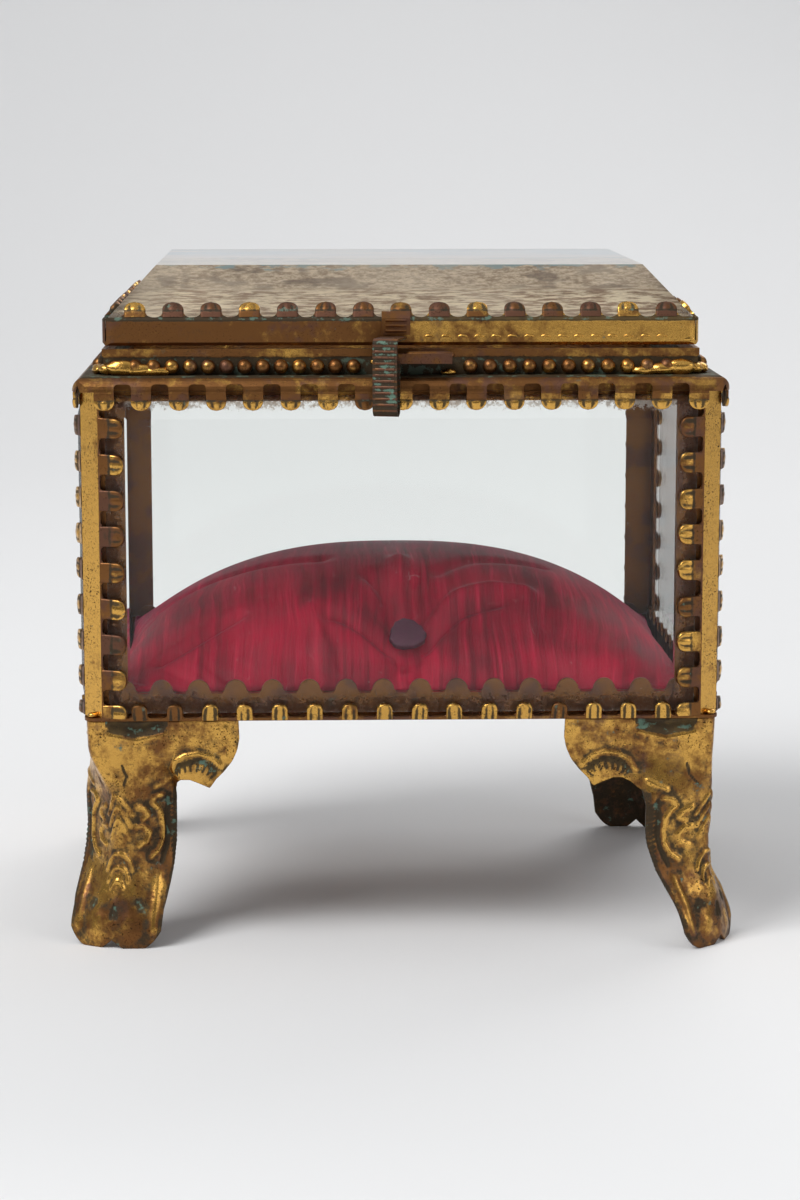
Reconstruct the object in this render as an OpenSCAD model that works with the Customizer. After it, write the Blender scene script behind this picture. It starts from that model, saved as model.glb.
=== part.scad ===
/* [Case] */
// Width of the case across the corner strips, left to right
case_w = 81; // [70:0.5:110]
// Depth of the case across the corner strips, front to back
case_d = 64; // [56:0.5:90]
// Height of the case underside above the table, which is the height of the legs
leg_h = 29.6; // [22:0.2:40]
// Height from the case underside to the fold at the top of the panes
pane_fold_h = 41.7; // [34:0.1:60]
// Width of the chamfer on each corner strip, measured along a wall
chamfer = 2.4; // [1.8:0.1:3]

/* [Sheet metal] */
// Thickness of the pronged strip
strip_t = 0.4; // [0.3:0.05:0.5]
// Thickness of the stamped leg sheet
leg_t = 0.6; // [0.5:0.05:0.9]
// Gap left between pieces that rest on each other but are not soldered face to face
seat_gap = 0.02; // [0.01:0.01:0.05]

/* [Panes] */
// Thickness of a wall pane
pane_t = 2.2; // [1.6:0.1:2.4]
// Width of the bevel round a wall pane
bevel_w = 2.8; // [2:0.1:3.2]
// Depth of the bevel at the edge of a wall pane
bevel_drop = 0.8; // [0.5:0.05:0.9]
// Gap between a fold line and the edge of the pane beside it
pane_gap = 0.8; // [0.5:0.05:1]
// Drop from the pane fold to the upper edge of a wall pane
pane_top_drop = 0.3; // [0.2:0.05:0.6]

/* [Tabs] */
// Radius of the corners of the notches between tabs
notch_corner = 0.5; // [0.3:0.05:0.7]
// Distance between tabs on the corner strips
post_pitch = 4.59; // [4.2:0.01:5.2]
// Width of a tab on the corner strips
post_tab_w = 2.5; // [1.8:0.1:2.6]
// Length of a tab on the corner strips
post_tab_l = 3.3; // [2.6:0.1:3.6]
// Distance between tabs on the top rails
top_pitch = 4.66; // [4.2:0.01:5.2]
// Width of a tab on the top rails
top_tab_w = 2.5; // [1.8:0.1:2.8]
// Length of a tab on the top rails
top_tab_l = 2; // [1.6:0.1:2.2]
// Distance between tabs on the bottom rails
bottom_pitch = 4.45; // [4.2:0.01:5.2]
// Width of a tab on the bottom rails
bottom_tab_w = 2; // [1.6:0.1:2.2]
// Length of a tab on the bottom rails
bottom_tab_l = 2.1; // [1.6:0.1:2.6]
// Distance between tabs on the lid strip
lid_pitch = 4.78; // [4.2:0.01:5.4]
// Width of a tab on the lid strip
lid_tab_w = 2.6; // [2:0.1:3]
// Length of a tab on the lid strip
lid_tab_l = 2.7; // [2:0.1:3.2]
// Distance between prongs on the tray
prong_pitch = 4.8; // [4.2:0.01:5.4]

/* [Top rail] */
// How far the neck stands in from the fold plane of the case
neck_in = 2.95; // [2.6:0.05:3.2]
// How far the shoulder stands out from the fold plane of the case
shoulder_out = 0.9; // [0.7:0.05:1.1]
// Height of the rim above the pane fold
rim_h = 5.45; // [5:0.05:6.5]
// Thickness of the rail's wall
rail_t = 0.5; // [0.4:0.05:0.6]
// Radius of the beads
bead_r = 0.95; // [0.7:0.05:1]
// Distance between beads
bead_pitch = 2.38; // [2.1:0.01:2.8]
// Plain length left at each end of a row of beads
bead_end = 7; // [6:0.5:12]
// Plain length left on each side of the catch and of the hinge
bead_clear = 2.4; // [2:0.1:4]

/* [Lid] */
// Gap between the rim and the closed lid
lid_gap = 0.4; // [0.3:0.05:0.6]
// Height of the upright band of the lid strip
lid_band_h = 3.2; // [2.8:0.1:4]
// Height of the lid above its lower edge
lid_h = 9.8; // [8:0.1:14]
// Slope of the lid glass bevel, in degrees from level
lid_slope = 47.2; // [40:0.2:55]
// Thickness of the card behind the print
backing_t = 1.6; // [1:0.1:1.8]
// Thickness of the print
print_t = 0.2; // [0.15:0.05:0.3]

/* [Clasp and hinge] */
// Sideways place of the clasp
clasp_x = -0.9; // [-3:0.1:3]
// Width of the clasp strip
clasp_w = 3.1; // [2.6:0.1:4]
// Thickness of the clasp strip
clasp_t = 0.35; // [0.3:0.05:0.5]
// Angle by which the clasp strip is twisted to the left on its plate
clasp_turn = 14; // [0:1:14]
// Length of the clasp loop below its bend
clasp_drop = 9.35; // [8:0.05:11]
// Sideways place of the catch
catch_x = 1.3; // [-3:0.1:3]
// Length of the catch
catch_l = 9.9; // [8:0.1:12]
// Length of the hinge
hinge_l = 22; // [16:1:30]
// Radius of the hinge pin
pin_r = 0.5; // [0.4:0.05:0.6]
// Radial running clearance between the pin and its knuckles
pin_clear = 0.05; // [0.02:0.01:0.1]
// Outer radius of the hinge knuckles
knuckle_r = 1.1; // [1:0.05:1.3]

/* [Cushion] */
// Height of the cushion's crown above the tray floor
crown_h = 17.5; // [12:0.5:22]
// Sideways place of the tufted button
button_x = 0.9; // [-4:0.1:4]
// Place of the tufted button in front of the middle of the case
button_y = 22.5; // [16:0.5:23]
// Radius of the button
button_r = 2.6; // [1.8:0.1:3]

/* [Legs] */
// Length of each wing of a leg along the wall, from the corner
wing_l = 19.6; // [16:0.1:22]
// Half width of the leg sheet where it leaves the wings
shank_w = 9.9; // [8:0.1:11]
// Angle by which the bent front left and back right legs are turned to face along the depth
bent_turn = 30; // [0:1:40]
// Angle by which the other two legs are turned to face along the width
leg_turn = 10; // [0:1:20]

/* [Hidden] */
$fn = 48;

// The four sides, counted as quarter turns from the back
BACK = 0;
LEFT = 1;
FRONT = 2;
RIGHT = 3;

// Slope of the pane bevel, and of the tabs that lie on it
tilt = atan(bevel_drop / bevel_w);
// How far the flat of a pane stands out from the fold plane
pane_out = (pane_gap + bevel_w) * tan(tilt) - strip_t / 2 - strip_t / 2 / cos(tilt) - seat_gap;
// Heights of the folds at the bottom and top of the panes
fold_lo = leg_h + strip_t / 2;
fold_hi = leg_h + pane_fold_h;
pane_lo = fold_lo + pane_gap;
pane_hi = fold_hi - pane_top_drop;
base_top = leg_h + strip_t;
rim_top = fold_hi + rim_h;
// Underside of the lip that the top rail lays inside the panes, and how far it laps them
lip_lap = 0.8;
lip_z = pane_hi - lip_lap;
shoulder_r = 1.9;
shoulder_z = fold_hi + 0.3;
neck_foot = shoulder_z + shoulder_r;
rim_out = 0.15;

// Lid levels and the plan size of its band
lid_lo = rim_top + lid_gap;
lid_top = lid_lo + lid_h;
lid_fold = lid_lo + lid_band_h;
lid_w = case_w - 2 * neck_in + 2 * rim_out;
lid_d = case_d - 2 * neck_in + 2 * rim_out;
lip_w = 1.3;
lid_backing_lo = lid_lo + strip_t;
print_lo = lid_backing_lo + backing_t;
lid_glass_lo = print_lo + print_t;
lid_inset = strip_t + 0.1;

// Hinge axis
hinge_y = lid_d / 2 + knuckle_r + 0.15;
hinge_z = (rim_top + lid_lo) / 2;

// Clasp bends
clasp_bend_z = lid_lo + 1.05;
clasp_root_y = lid_d / 2 + 0.75;
clasp_front_y = case_d / 2 + 3.5;
clasp_loop_r = 0.85;
catch_z = neck_foot + 1.8;
catch_y = case_d / 2 + 0.75;

function side_w(k) = k % 2 == 0 ? case_w : case_d;
function side_d(k) = k % 2 == 0 ? case_d : case_w;
function unit(v) = v / norm(v);
function normal2(v) = [-v[1], v[0]];
// How many copies at about this pitch fit in a length
function count_in(length, pitch) = floor(length / pitch + 0.5) + 1;
function pitch_in(length, pitch) = length / (count_in(length, pitch) - 1);
function ease(x) = let (c = min(1, max(0, x))) c * c * (3 - 2 * c);
function arc(c, r, a0, a1, n) = [for (i = [0:n]) c + r * [cos(a0 + (a1 - a0) * i / n), sin(a0 + (a1 - a0) * i / n)]];

// Offset of point i of a path, for a mitred sheet of unit half thickness
function mitre_at(path, i) =
    let (last = len(path) - 1,
        a = normal2(unit(path[min(i + 1, last)] - path[min(i, last - 1)])),
        b = normal2(unit(path[max(i, 1)] - path[max(i - 1, 0)])))
    (a + b) / (1 + a * b);

// Section of a sheet of thickness t whose middle follows a path
module ribbon(path, t) {
    polygon(concat(
        [for (i = [0:len(path) - 1]) path[i] + mitre_at(path, i) * t / 2],
        [for (i = [len(path) - 1:-1:0]) path[i] - mitre_at(path, i) * t / 2]));
}

// A section, with x outward from the back wall's fold plane, run along the back with mitred ends
module wall_run(w, d) {
    reach = 8;
    intersection() {
        rotate([90, 0, 90])
            linear_extrude(w + 4 * reach, center = true)
                translate([d / 2, 0]) children();
        linear_extrude(200)
            polygon([[-w / 2 + reach, d / 2 - reach], [w / 2 - reach, d / 2 - reach],
                [w / 2 + reach, d / 2 + reach], [-w / 2 - reach, d / 2 + reach]]);
    }
}

// Turns what is built at the back to another side
module on_side(k) rotate([0, 0, 90 * k]) children();

// Moves a flat pattern so that its rows run along row, its tabs along reach, from origin
module lay(origin, row, reach) {
    up = cross(row, reach);
    multmatrix([
        [row[0], reach[0], up[0], origin[0]],
        [row[1], reach[1], up[1], origin[1]],
        [row[2], reach[2], up[2], origin[2]],
        [0, 0, 0, 1]]) children();
}

// Row of round-ended tabs on a narrow root, centred in thickness, with notches between them whose
// corners have the radius r
module comb(n, pitch, w, l, root, t, r) {
    translate([0, 0, -t / 2]) linear_extrude(t) {
        difference() {
            translate([-n * pitch / 2, 0]) square([n * pitch, root + 1.4 * r]);
            for (i = [0:n]) translate([(i - n / 2) * pitch, root]) notch(pitch - w, 2 * r, r);
        }
        for (i = [0:n - 1]) translate([(i - (n - 1) / 2) * pitch, 0]) {
            translate([-w / 2, 0]) square([w, l - w / 2]);
            translate([0, l - w / 2]) circle(w / 2);
        }
    }
}

// Outline of a notch of width w and height h, standing on y = 0, with corners of radius r
module notch(w, h, r) {
    polygon(concat(arc([r - w / 2, r], r, 180, 270, 6), arc([w / 2 - r, r], r, 270, 360, 6), [[w / 2, h], [-w / 2, h]]));
}

// Bevelled pane, with its flat face at y = 0 and its width and height centred
module pane(w, h) {
    intersection() {
        linear_extrude(h + 2, center = true) pane_profile(w);
        rotate([0, 90, 0]) linear_extrude(w + 2, center = true) pane_profile(h);
    }
}

module pane_profile(l) {
    polygon([[-l / 2, -pane_t], [l / 2, -pane_t], [l / 2, -bevel_drop], [l / 2 - bevel_w, 0],
        [-l / 2 + bevel_w, 0], [-l / 2, -bevel_drop]]);
}

module wall_pane(k) {
    color("lightcyan", 0.4)
        on_side(k) translate([0, side_d(k) / 2 + pane_out, (pane_lo + pane_hi) / 2])
            pane(side_w(k) - 2 * (chamfer + pane_gap), pane_hi - pane_lo);
}

module glass_front() wall_pane(FRONT);
module glass_back() wall_pane(BACK);
module glass_left() wall_pane(LEFT);
module glass_right() wall_pane(RIGHT);

// Corner strip for the back right corner of a w x d plan
module post(w, d) {
    post_n = 9;
    root = 0.15;
    fold_back = [w / 2 - chamfer, d / 2 - strip_t / 2];
    fold_side = [w / 2 - strip_t / 2, d / 2 - chamfer];
    out_back = [-cos(tilt), sin(tilt)];
    out_side = [sin(tilt), -cos(tilt)];
    mid_z = (fold_lo + fold_hi) / 2 - 1.8;
    post_top = shoulder_z - 0.1;
    color("goldenrod") {
        translate([0, 0, base_top]) linear_extrude(post_top - base_top)
            ribbon([fold_back + out_back * root, fold_back, fold_side, fold_side + out_side * root], strip_t);
        // The lowest tabs are cut off where the strip meets the bottom rail
        intersection() {
            union() {
                lay([fold_back[0], fold_back[1], mid_z], [0, 0, 1], [out_back[0], out_back[1], 0])
                    comb(post_n, post_pitch, post_tab_w, post_tab_l, root, strip_t, notch_corner);
                lay([fold_side[0], fold_side[1], mid_z], [0, 0, -1], [out_side[0], out_side[1], 0])
                    comb(post_n, post_pitch, post_tab_w, post_tab_l, root, strip_t, notch_corner);
            }
            translate([0, 0, base_top]) cube([w, d, post_top - base_top]);
        }
    }
}

module post_back_right() post(case_w, case_d);
module post_back_left() mirror([1, 0, 0]) post(case_w, case_d);
module post_front_right() mirror([0, 1, 0]) post(case_w, case_d);
module post_front_left() mirror([1, 0, 0]) mirror([0, 1, 0]) post(case_w, case_d);

// Inner angle for the back right corner
module inner_angle() {
    flange = 4.1;
    x = case_w / 2 + pane_out - pane_t - seat_gap;
    y = case_d / 2 + pane_out - pane_t - seat_gap;
    color("darkgoldenrod")
        translate([0, 0, base_top]) linear_extrude(lip_z - seat_gap - base_top)
            ribbon([[x - flange, y - strip_t / 2], [x - strip_t / 2, y - strip_t / 2],
                [x - strip_t / 2, y - flange]], strip_t);
}

module angle_back_right() inner_angle();
module angle_back_left() mirror([1, 0, 0]) inner_angle();
module angle_front_right() mirror([0, 1, 0]) inner_angle();
module angle_front_left() mirror([1, 0, 0]) mirror([0, 1, 0]) inner_angle();

// Section of the top rail: rim, neck, inner wall with its lip, and shoulder
module rail_section() {
    inner = -neck_in - rail_t;
    translate([inner, lip_z]) square([rail_t, rim_top - lip_z]);
    translate([inner, lip_z]) square([pane_out - pane_t - seat_gap - inner, rail_t]);
    translate([inner, rim_top - 0.9]) square([rail_t + rim_out, 0.9]);
    ribbon(concat([[-neck_in - rail_t / 2, neck_foot - rail_t / 2]],
        arc([shoulder_out - shoulder_r, shoulder_z], shoulder_r - rail_t / 2, 90, 0, 8)), rail_t);
}

// Top rail at the back, with beads in the spans given as [from, to] along x
module top_rail(w, d, bead_spans) {
    tab_run = w - 2 * 3.2;
    n = count_in(tab_run, top_pitch);
    lean = 3.6;
    notch_h = 1;
    bead_y = d / 2 - neck_in + 0.72;
    corner_r = 2.6;
    color("goldenrod") intersection() {
        union() {
            difference() {
                wall_run(w, d) rail_section();
                for (i = [1:n - 1])
                    translate([(i - n / 2) * pitch_in(tab_run, top_pitch), d / 2, shoulder_z + notch_h])
                        rotate([-90, 0, 0]) translate([0, 0, -0.6])
                            linear_extrude(3) notch(pitch_in(tab_run, top_pitch) - top_tab_w, 3, notch_corner);
            }
            lay([0, d / 2 + shoulder_out - rail_t / 2, shoulder_z + 0.1], [1, 0, 0],
                [0, -sin(lean), -cos(lean)])
                comb(n, pitch_in(tab_run, top_pitch), top_tab_w, top_tab_l + 0.4, 0.01, strip_t, 0.01);
            for (span = bead_spans)
                let (beads = count_in(span[1] - span[0], bead_pitch),
                    step = pitch_in(span[1] - span[0], bead_pitch))
                for (i = [0:beads - 1])
                    translate([span[0] + i * step, bead_y, neck_foot + bead_r + 0.08])
                        sphere(bead_r);
        }
        linear_extrude(200) rounded_plan(w + 2 * shoulder_out, d + 2 * shoulder_out, corner_r);
    }
}

module rounded_plan(w, d, r) {
    square([w - 2 * r, d], center = true);
    square([w, d - 2 * r], center = true);
    for (x = [-1, 1], y = [-1, 1])
        translate([x * (w / 2 - r), y * (d / 2 - r)]) circle(r);
}

module top_rail_front() {
    end = case_w / 2 - bead_end;
    catch_gap = catch_l / 2 + bead_clear;
    on_side(FRONT) top_rail(case_w, case_d, [[-end, -catch_x - catch_gap], [catch_gap - catch_x, end]]);
}
module top_rail_back() {
    end = case_w / 2 - bead_end;
    on_side(BACK) top_rail(case_w, case_d, [[-end, -hinge_l / 2 - bead_clear], [hinge_l / 2 + bead_clear, end]]);
}
module top_rail_left() {
    end = case_d / 2 - bead_end;
    on_side(LEFT) top_rail(case_d, case_w, [[-end, end]]);
}
module top_rail_right() {
    end = case_d / 2 - bead_end;
    on_side(RIGHT) top_rail(case_d, case_w, [[-end, end]]);
}

// Bottom rail: a flange under the pane and short tabs folded up over its bevel
module bottom_rail(w, d) {
    flange = 6;
    root = 0.22;
    corner_r = 1.5;
    tab_run = w - 2 * (chamfer + post_tab_l + bottom_tab_w / 2 + 0.4);
    n = count_in(tab_run, bottom_pitch);
    color("goldenrod") {
        intersection() {
            wall_run(w, d) translate([-flange, leg_h]) square([flange, strip_t]);
            linear_extrude(200) rounded_plan(w, d, corner_r);
        }
        rotate([90, 0, 90]) linear_extrude(tab_run + bottom_pitch, center = true) translate([d / 2, 0])
            ribbon([[-1, fold_lo], [-strip_t / 2, fold_lo],
                [-strip_t / 2 + sin(tilt) * root, fold_lo + cos(tilt) * root]], strip_t);
        lay([0, d / 2 - strip_t / 2, fold_lo], [1, 0, 0], [0, sin(tilt), cos(tilt)])
            comb(n, pitch_in(tab_run, bottom_pitch), bottom_tab_w, bottom_tab_l, root, strip_t, notch_corner);
    }
}

module bottom_rail_front() on_side(FRONT) bottom_rail(case_w, case_d);
module bottom_rail_back() on_side(BACK) bottom_rail(case_w, case_d);
module bottom_rail_left() on_side(LEFT) bottom_rail(case_d, case_w);
module bottom_rail_right() on_side(RIGHT) bottom_rail(case_d, case_w);

// Plan size of the tray, inside the corner angles
tray_w = case_w + 2 * (pane_out - pane_t - strip_t - 0.1);
tray_d = case_d + 2 * (pane_out - pane_t - strip_t - 0.1);
tray_wall_h = 3;

// Sheet floor with an upturned wall that ends in round prongs
module base_tray() {
    prong_l = 1.6;
    prong_w = 2.7;
    color("darkgoldenrod") {
        translate([-tray_w / 2, -tray_d / 2, base_top]) cube([tray_w, tray_d, strip_t]);
        for (k = [BACK, LEFT, FRONT, RIGHT])
            let (w = k % 2 == 0 ? tray_w : tray_d, d = k % 2 == 0 ? tray_d : tray_w,
                run = w - 2 * 3, n = count_in(run, prong_pitch))
            on_side(k) {
                translate([-w / 2, d / 2 - strip_t, base_top]) cube([w, strip_t, tray_wall_h]);
                lay([0, d / 2 - strip_t / 2, base_top + tray_wall_h - 0.7], [1, 0, 0], [0, 0, 1])
                    comb(n, pitch_in(run, prong_pitch), prong_w, prong_l + 0.7, 0.7, strip_t, notch_corner);
            }
    }
}

board_t = 0.8;
module cushion_board() {
    edge = 0.8;
    color("tan") translate([0, 0, base_top + strip_t]) linear_extrude(board_t)
        rounded_plan(tray_w - 2 * strip_t - 2 * edge, tray_d - 2 * strip_t - 2 * edge, 2);
}

// Cushion: rows of points over the crown, from the front to the back
cushion_lo = base_top + strip_t + board_t + seat_gap;
cushion_side = 1.9;
cushion_w = tray_w - 2 * strip_t - 1;
cushion_d = tray_d - 2 * strip_t - 1;
cushion_rise = crown_h - board_t - seat_gap - cushion_side;
cushion_nx = 26;
cushion_ny = 20;
tuft_r = 4.5;
tuft_depth = 3.4;

function crown(a) = pow(max(0, 1 - pow(abs(a), 2.5)), 0.85);
// Sewn tuft under the button, low on the cushion's front
function tuft(x, y) =
    let (dx = x - button_x, dy = y + button_y)
    tuft_depth * exp(-(dx * dx + dy * dy) / (tuft_r * tuft_r));
// Sides drawn in a little between the corners
function draw_in(a, b) = 1 - 0.025 * (1 - b * b) * abs(a);
function cushion_z(x, y) = max(cushion_lo + cushion_side,
    cushion_lo + cushion_side + cushion_rise * crown(2 * x / cushion_w) * crown(2 * y / cushion_d) - tuft(x, y));
function spread(i, n) = sin(90 * (2 * i / n - 1)) * 0.5 + (2 * i / n - 1) * 0.5;
function cushion_pt(i, j, low) =
    let (a = spread(i, cushion_nx), b = spread(j, cushion_ny),
        x = a * cushion_w / 2 * draw_in(a, b), y = b * cushion_d / 2 * draw_in(b, a))
    low ? [x * 0.985, y * 0.985, cushion_lo] : [x, y, cushion_z(x, y)];

module cushion() {
    row = cushion_nx + 1;
    top = row * (cushion_ny + 1);
    points = [for (low = [false, true], j = [0:cushion_ny], i = [0:cushion_nx]) cushion_pt(i, j, low)];
    function at(i, j, low) = (low ? top : 0) + j * row + i;
    crown_faces = [for (j = [0:cushion_ny - 1], i = [0:cushion_nx - 1])
        for (f = [[at(i, j, false), at(i, j + 1, false), at(i + 1, j + 1, false)],
            [at(i, j, false), at(i + 1, j + 1, false), at(i + 1, j, false)]]) f];
    rim = concat([for (i = [0:cushion_nx - 1]) [i, 0]], [for (j = [0:cushion_ny - 1]) [cushion_nx, j]],
        [for (i = [cushion_nx:-1:1]) [i, cushion_ny]], [for (j = [cushion_ny:-1:1]) [0, j]]);
    side_faces = [for (k = [0:len(rim) - 1])
        let (p = rim[k], q = rim[(k + 1) % len(rim)])
        for (f = [[at(p[0], p[1], false), at(q[0], q[1], false), at(q[0], q[1], true)],
            [at(p[0], p[1], false), at(q[0], q[1], true), at(p[0], p[1], true)]]) f];
    floor_face = [[for (p = rim) at(p[0], p[1], true)]];
    color("crimson") polyhedron(points, concat(crown_faces, side_faces, floor_face), convexity = 6);
}

// Covered button in the tuft, tipped to the front like the cushion under it
module cushion_button() {
    lean = 42;
    dome_h = 1.6;
    // The button's edge rests on the folds round the tuft, above its deepest point
    tuft_fill = 1.1;
    base_z = cushion_z(button_x, -button_y) + tuft_fill;
    color("darkred") translate([button_x, -button_y, base_z]) rotate([lean, 0, 0])
        rotate_extrude()
            polygon(concat([[0, 0], [button_r * 0.8, 0], [button_r, 0.35]],
                [for (i = [1:6]) [button_r * cos(15 * i), 0.35 + (dome_h - 0.35) * sin(15 * i)]]));
}

// Leg sheet for the back right corner, as heights against: ridge offset along the diagonal,
// half angle between the flanges, and half width of the sheet
ridge_at = [[0, 0.6], [2, 0.6], [4, 0.3], [6, -0.1], [8, -0.7], [10, -1.2], [14, -1.4], [18, -1.1],
    [22, -0.7], [26, -0.2], [30, 0]];
flange_at = [[0, 74], [3, 72], [6, 65], [9, 55], [12, 48], [15, 45], [30, 45]];
width_at = [[0, 6.4], [3, 6.6], [6, 7.2], [9, 7.9], [12, 8.6], [15, 8.9], [18, 9], [20, 9.4], [21, 9.9]];
// Lower outline of a wing against the distance from the ridge: arch, point and round end
wing_foot_at = [[9.9, 20.6], [10.6, 21.3], [11.6, 21.8], [12.8, 21.8], [14, 21.3], [15.29, 20.7], [16.2, 21.9],
    [17.3, 22.9], [18.5, 24.3], [19.3, 25.8], [19.6, 27.2]];
// How far the shank and the foot stand off the corner, for the bent legs and the others
bent_lean = [[-3.2, 0.8], [-2.7, 0.8]];
leg_lean = [[0.7, 0.4], [0.9, 0.4]];
leg_model_h = 29.6;
shank_top = 20.6;
leg_cols = 12;
wing_cols = 9;
wing_rows = 4;
shank_rows = 13;

function leg_at(table, z) = lookup(z * leg_model_h / leg_h, table);
// Two round lobes at the toe, with a notch between them, and flats where they stand
function toe(u) = 1.1 * max(0, 1 - abs(u) / 0.24) + 2.2 * pow(max(0, (abs(u) - 0.6) / 0.4), 2);
// A point of the sheet, s from the ridge and z above the table, set in from the outside by inset
function leg_point(s, z, turn, lean, inset) =
    let (round_r = 1.1, corner_in = 0.55,
        bend = ease((26 * leg_h / leg_model_h - z) / 8) * (1 - ease((abs(s) - 8) / 4)),
        half = leg_at(flange_at, z),
        diag = 45 + turn * bend,
        n = [cos(diag), sin(diag)], t = [-sin(diag), cos(diag)],
        root = sqrt(s * s + round_r * round_r),
        normal = unit(n * sin(half) + t * cos(half) * s / root),
        corner = [case_w / 2 - corner_in, case_d / 2 - corner_in],
        stand = lean[0] + (lean[1] - lean[0]) * ease((12 - z) / 12),
        flat = corner + stand * bend + n * (leg_at(ridge_at, z) - (root - round_r) * cos(half))
            + t * s * sin(half) - normal * inset)
    [flat[0], flat[1], z];

// Ridge distances of the columns, from one wing end to the other
wing_steps = [for (i = [1:wing_cols]) shank_w + (wing_l - shank_w) * i / wing_cols];
columns = concat([for (i = [wing_cols - 1:-1:0]) -wing_steps[i]],
    [for (i = [0:leg_cols]) shank_w * (2 * i / leg_cols - 1)], wing_steps);
function foot_of(s) = abs(s) <= shank_w + 0.001 ? shank_top * leg_h / leg_model_h
    : lookup(abs(s) * 19.6 / wing_l, wing_foot_at) * leg_h / leg_model_h;

module leg(turn, lean) {
    cols = len(columns);
    wing_pts = [for (j = [0:wing_rows], s = columns)
        let (z = leg_h + (foot_of(s) - leg_h) * j / wing_rows) [s, z]];
    shank_pts = [for (j = [1:shank_rows], i = [0:leg_cols])
        let (u = 2 * i / leg_cols - 1, h = foot_of(0) * (1 - j / shank_rows),
            s = u * min(shank_w, leg_at(width_at, h)))
        [s, h + toe(u) * (1 - h / foot_of(0))]];
    sheet = concat(wing_pts, shank_pts);
    count = len(sheet);
    points = [for (inset = [0, leg_t], p = sheet) leg_point(p[0], p[1], turn, lean, inset)];
    // Index of a sheet point: row j, column c of the wings, or row j, column i of the shank
    function wing_i(j, c) = j * cols + c;
    function shank_i(j, i) = j == 0 ? wing_i(wing_rows, wing_cols + i)
        : (wing_rows + 1) * cols + (j - 1) * (leg_cols + 1) + i;
    quads = concat(
        [for (j = [0:wing_rows - 1], c = [0:cols - 2])
            [wing_i(j, c), wing_i(j + 1, c), wing_i(j + 1, c + 1), wing_i(j, c + 1)]],
        [for (j = [0:shank_rows - 1], i = [0:leg_cols - 1])
            [shank_i(j, i), shank_i(j + 1, i), shank_i(j + 1, i + 1), shank_i(j, i + 1)]]);
    edge = concat([for (c = [cols - 1:-1:0]) wing_i(0, c)],
        [for (j = [1:wing_rows]) wing_i(j, 0)],
        [for (c = [1:wing_cols]) wing_i(wing_rows, c)],
        [for (j = [1:shank_rows]) shank_i(j, 0)],
        [for (i = [1:leg_cols]) shank_i(shank_rows, i)],
        [for (j = [shank_rows - 1:-1:0]) shank_i(j, leg_cols)],
        [for (c = [cols - wing_cols:cols - 1]) wing_i(wing_rows, c)],
        [for (j = [wing_rows - 1:-1:1]) wing_i(j, cols - 1)]);
    outer = [for (q = quads) for (f = [[q[0], q[1], q[2]], [q[0], q[2], q[3]]]) f];
    inner = [for (f = outer) [count + f[2], count + f[1], count + f[0]]];
    walls = [for (k = [0:len(edge) - 1])
        let (p = edge[k], q = edge[(k + 1) % len(edge)])
        for (f = [[q, p, count + p], [q, count + p, count + q]]) f];
    color("gold") polyhedron(points, concat(outer, inner, walls), convexity = 6);
}

module leg_back_right() leg(bent_turn, bent_lean);
module leg_back_left() mirror([1, 0, 0]) leg(-leg_turn, leg_lean);
module leg_front_right() mirror([0, 1, 0]) leg(-leg_turn, leg_lean);
module leg_front_left() mirror([1, 0, 0]) mirror([0, 1, 0]) leg(bent_turn, bent_lean);

// Ledge on the front neck, with its front edge turned up
module catch_ledge() {
    color("peru") translate([catch_x - catch_l / 2, 0, 0])
        rotate([90, 0, 90]) mirror([1, 0, 0]) linear_extrude(catch_l)
            ribbon([[case_d / 2 - neck_in + seat_gap, catch_z], [catch_y - strip_t / 2, catch_z],
                [catch_y - strip_t / 2, catch_z + 1.05]], strip_t);
}

// A hinge knuckle from x0 to x1, drilled for the pin
module knuckle(x0, x1) {
    translate([x0, hinge_y, hinge_z]) rotate([0, 90, 0]) cylinder(h = x1 - x0, r = knuckle_r);
}

module pin_bore() {
    translate([-hinge_l, hinge_y, hinge_z]) rotate([0, 90, 0])
        cylinder(h = 2 * hinge_l, r = pin_r + pin_clear);
}

leaf_y = lid_d / 2 + seat_gap;
leaf_clear = knuckle_r + 0.2;
knuckle_l = hinge_l / 3;
knuckle_gap = 0.1;

module hinge_leaf_box() {
    color("goldenrod") difference() {
        union() {
            translate([-hinge_l / 2, leaf_y, neck_foot + seat_gap])
                cube([hinge_l, strip_t, hinge_z - leaf_clear - neck_foot - seat_gap]);
            for (x0 = [-hinge_l / 2, knuckle_l / 2 + knuckle_gap]) {
                knuckle(x0, x0 + knuckle_l - knuckle_gap);
                translate([x0, leaf_y, hinge_z - leaf_clear - 0.5])
                    cube([knuckle_l - knuckle_gap, strip_t, leaf_clear + 0.5]);
            }
        }
        pin_bore();
    }
}

module hinge_leaf_lid() {
    half = knuckle_l / 2 - knuckle_gap;
    color("goldenrod") difference() {
        union() {
            translate([-hinge_l / 2, leaf_y, hinge_z + leaf_clear])
                cube([hinge_l, strip_t, lid_fold - 0.5 - hinge_z - leaf_clear]);
            knuckle(-half, half);
            translate([-half, leaf_y, hinge_z]) cube([2 * half, strip_t, leaf_clear + 0.5]);
        }
        pin_bore();
    }
}

module hinge_pin() {
    head = 0.25;
    color("peru") translate([-hinge_l / 2 - head, hinge_y, hinge_z]) rotate([0, 90, 0])
        cylinder(h = hinge_l + 2 * head, r = pin_r);
}

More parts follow.
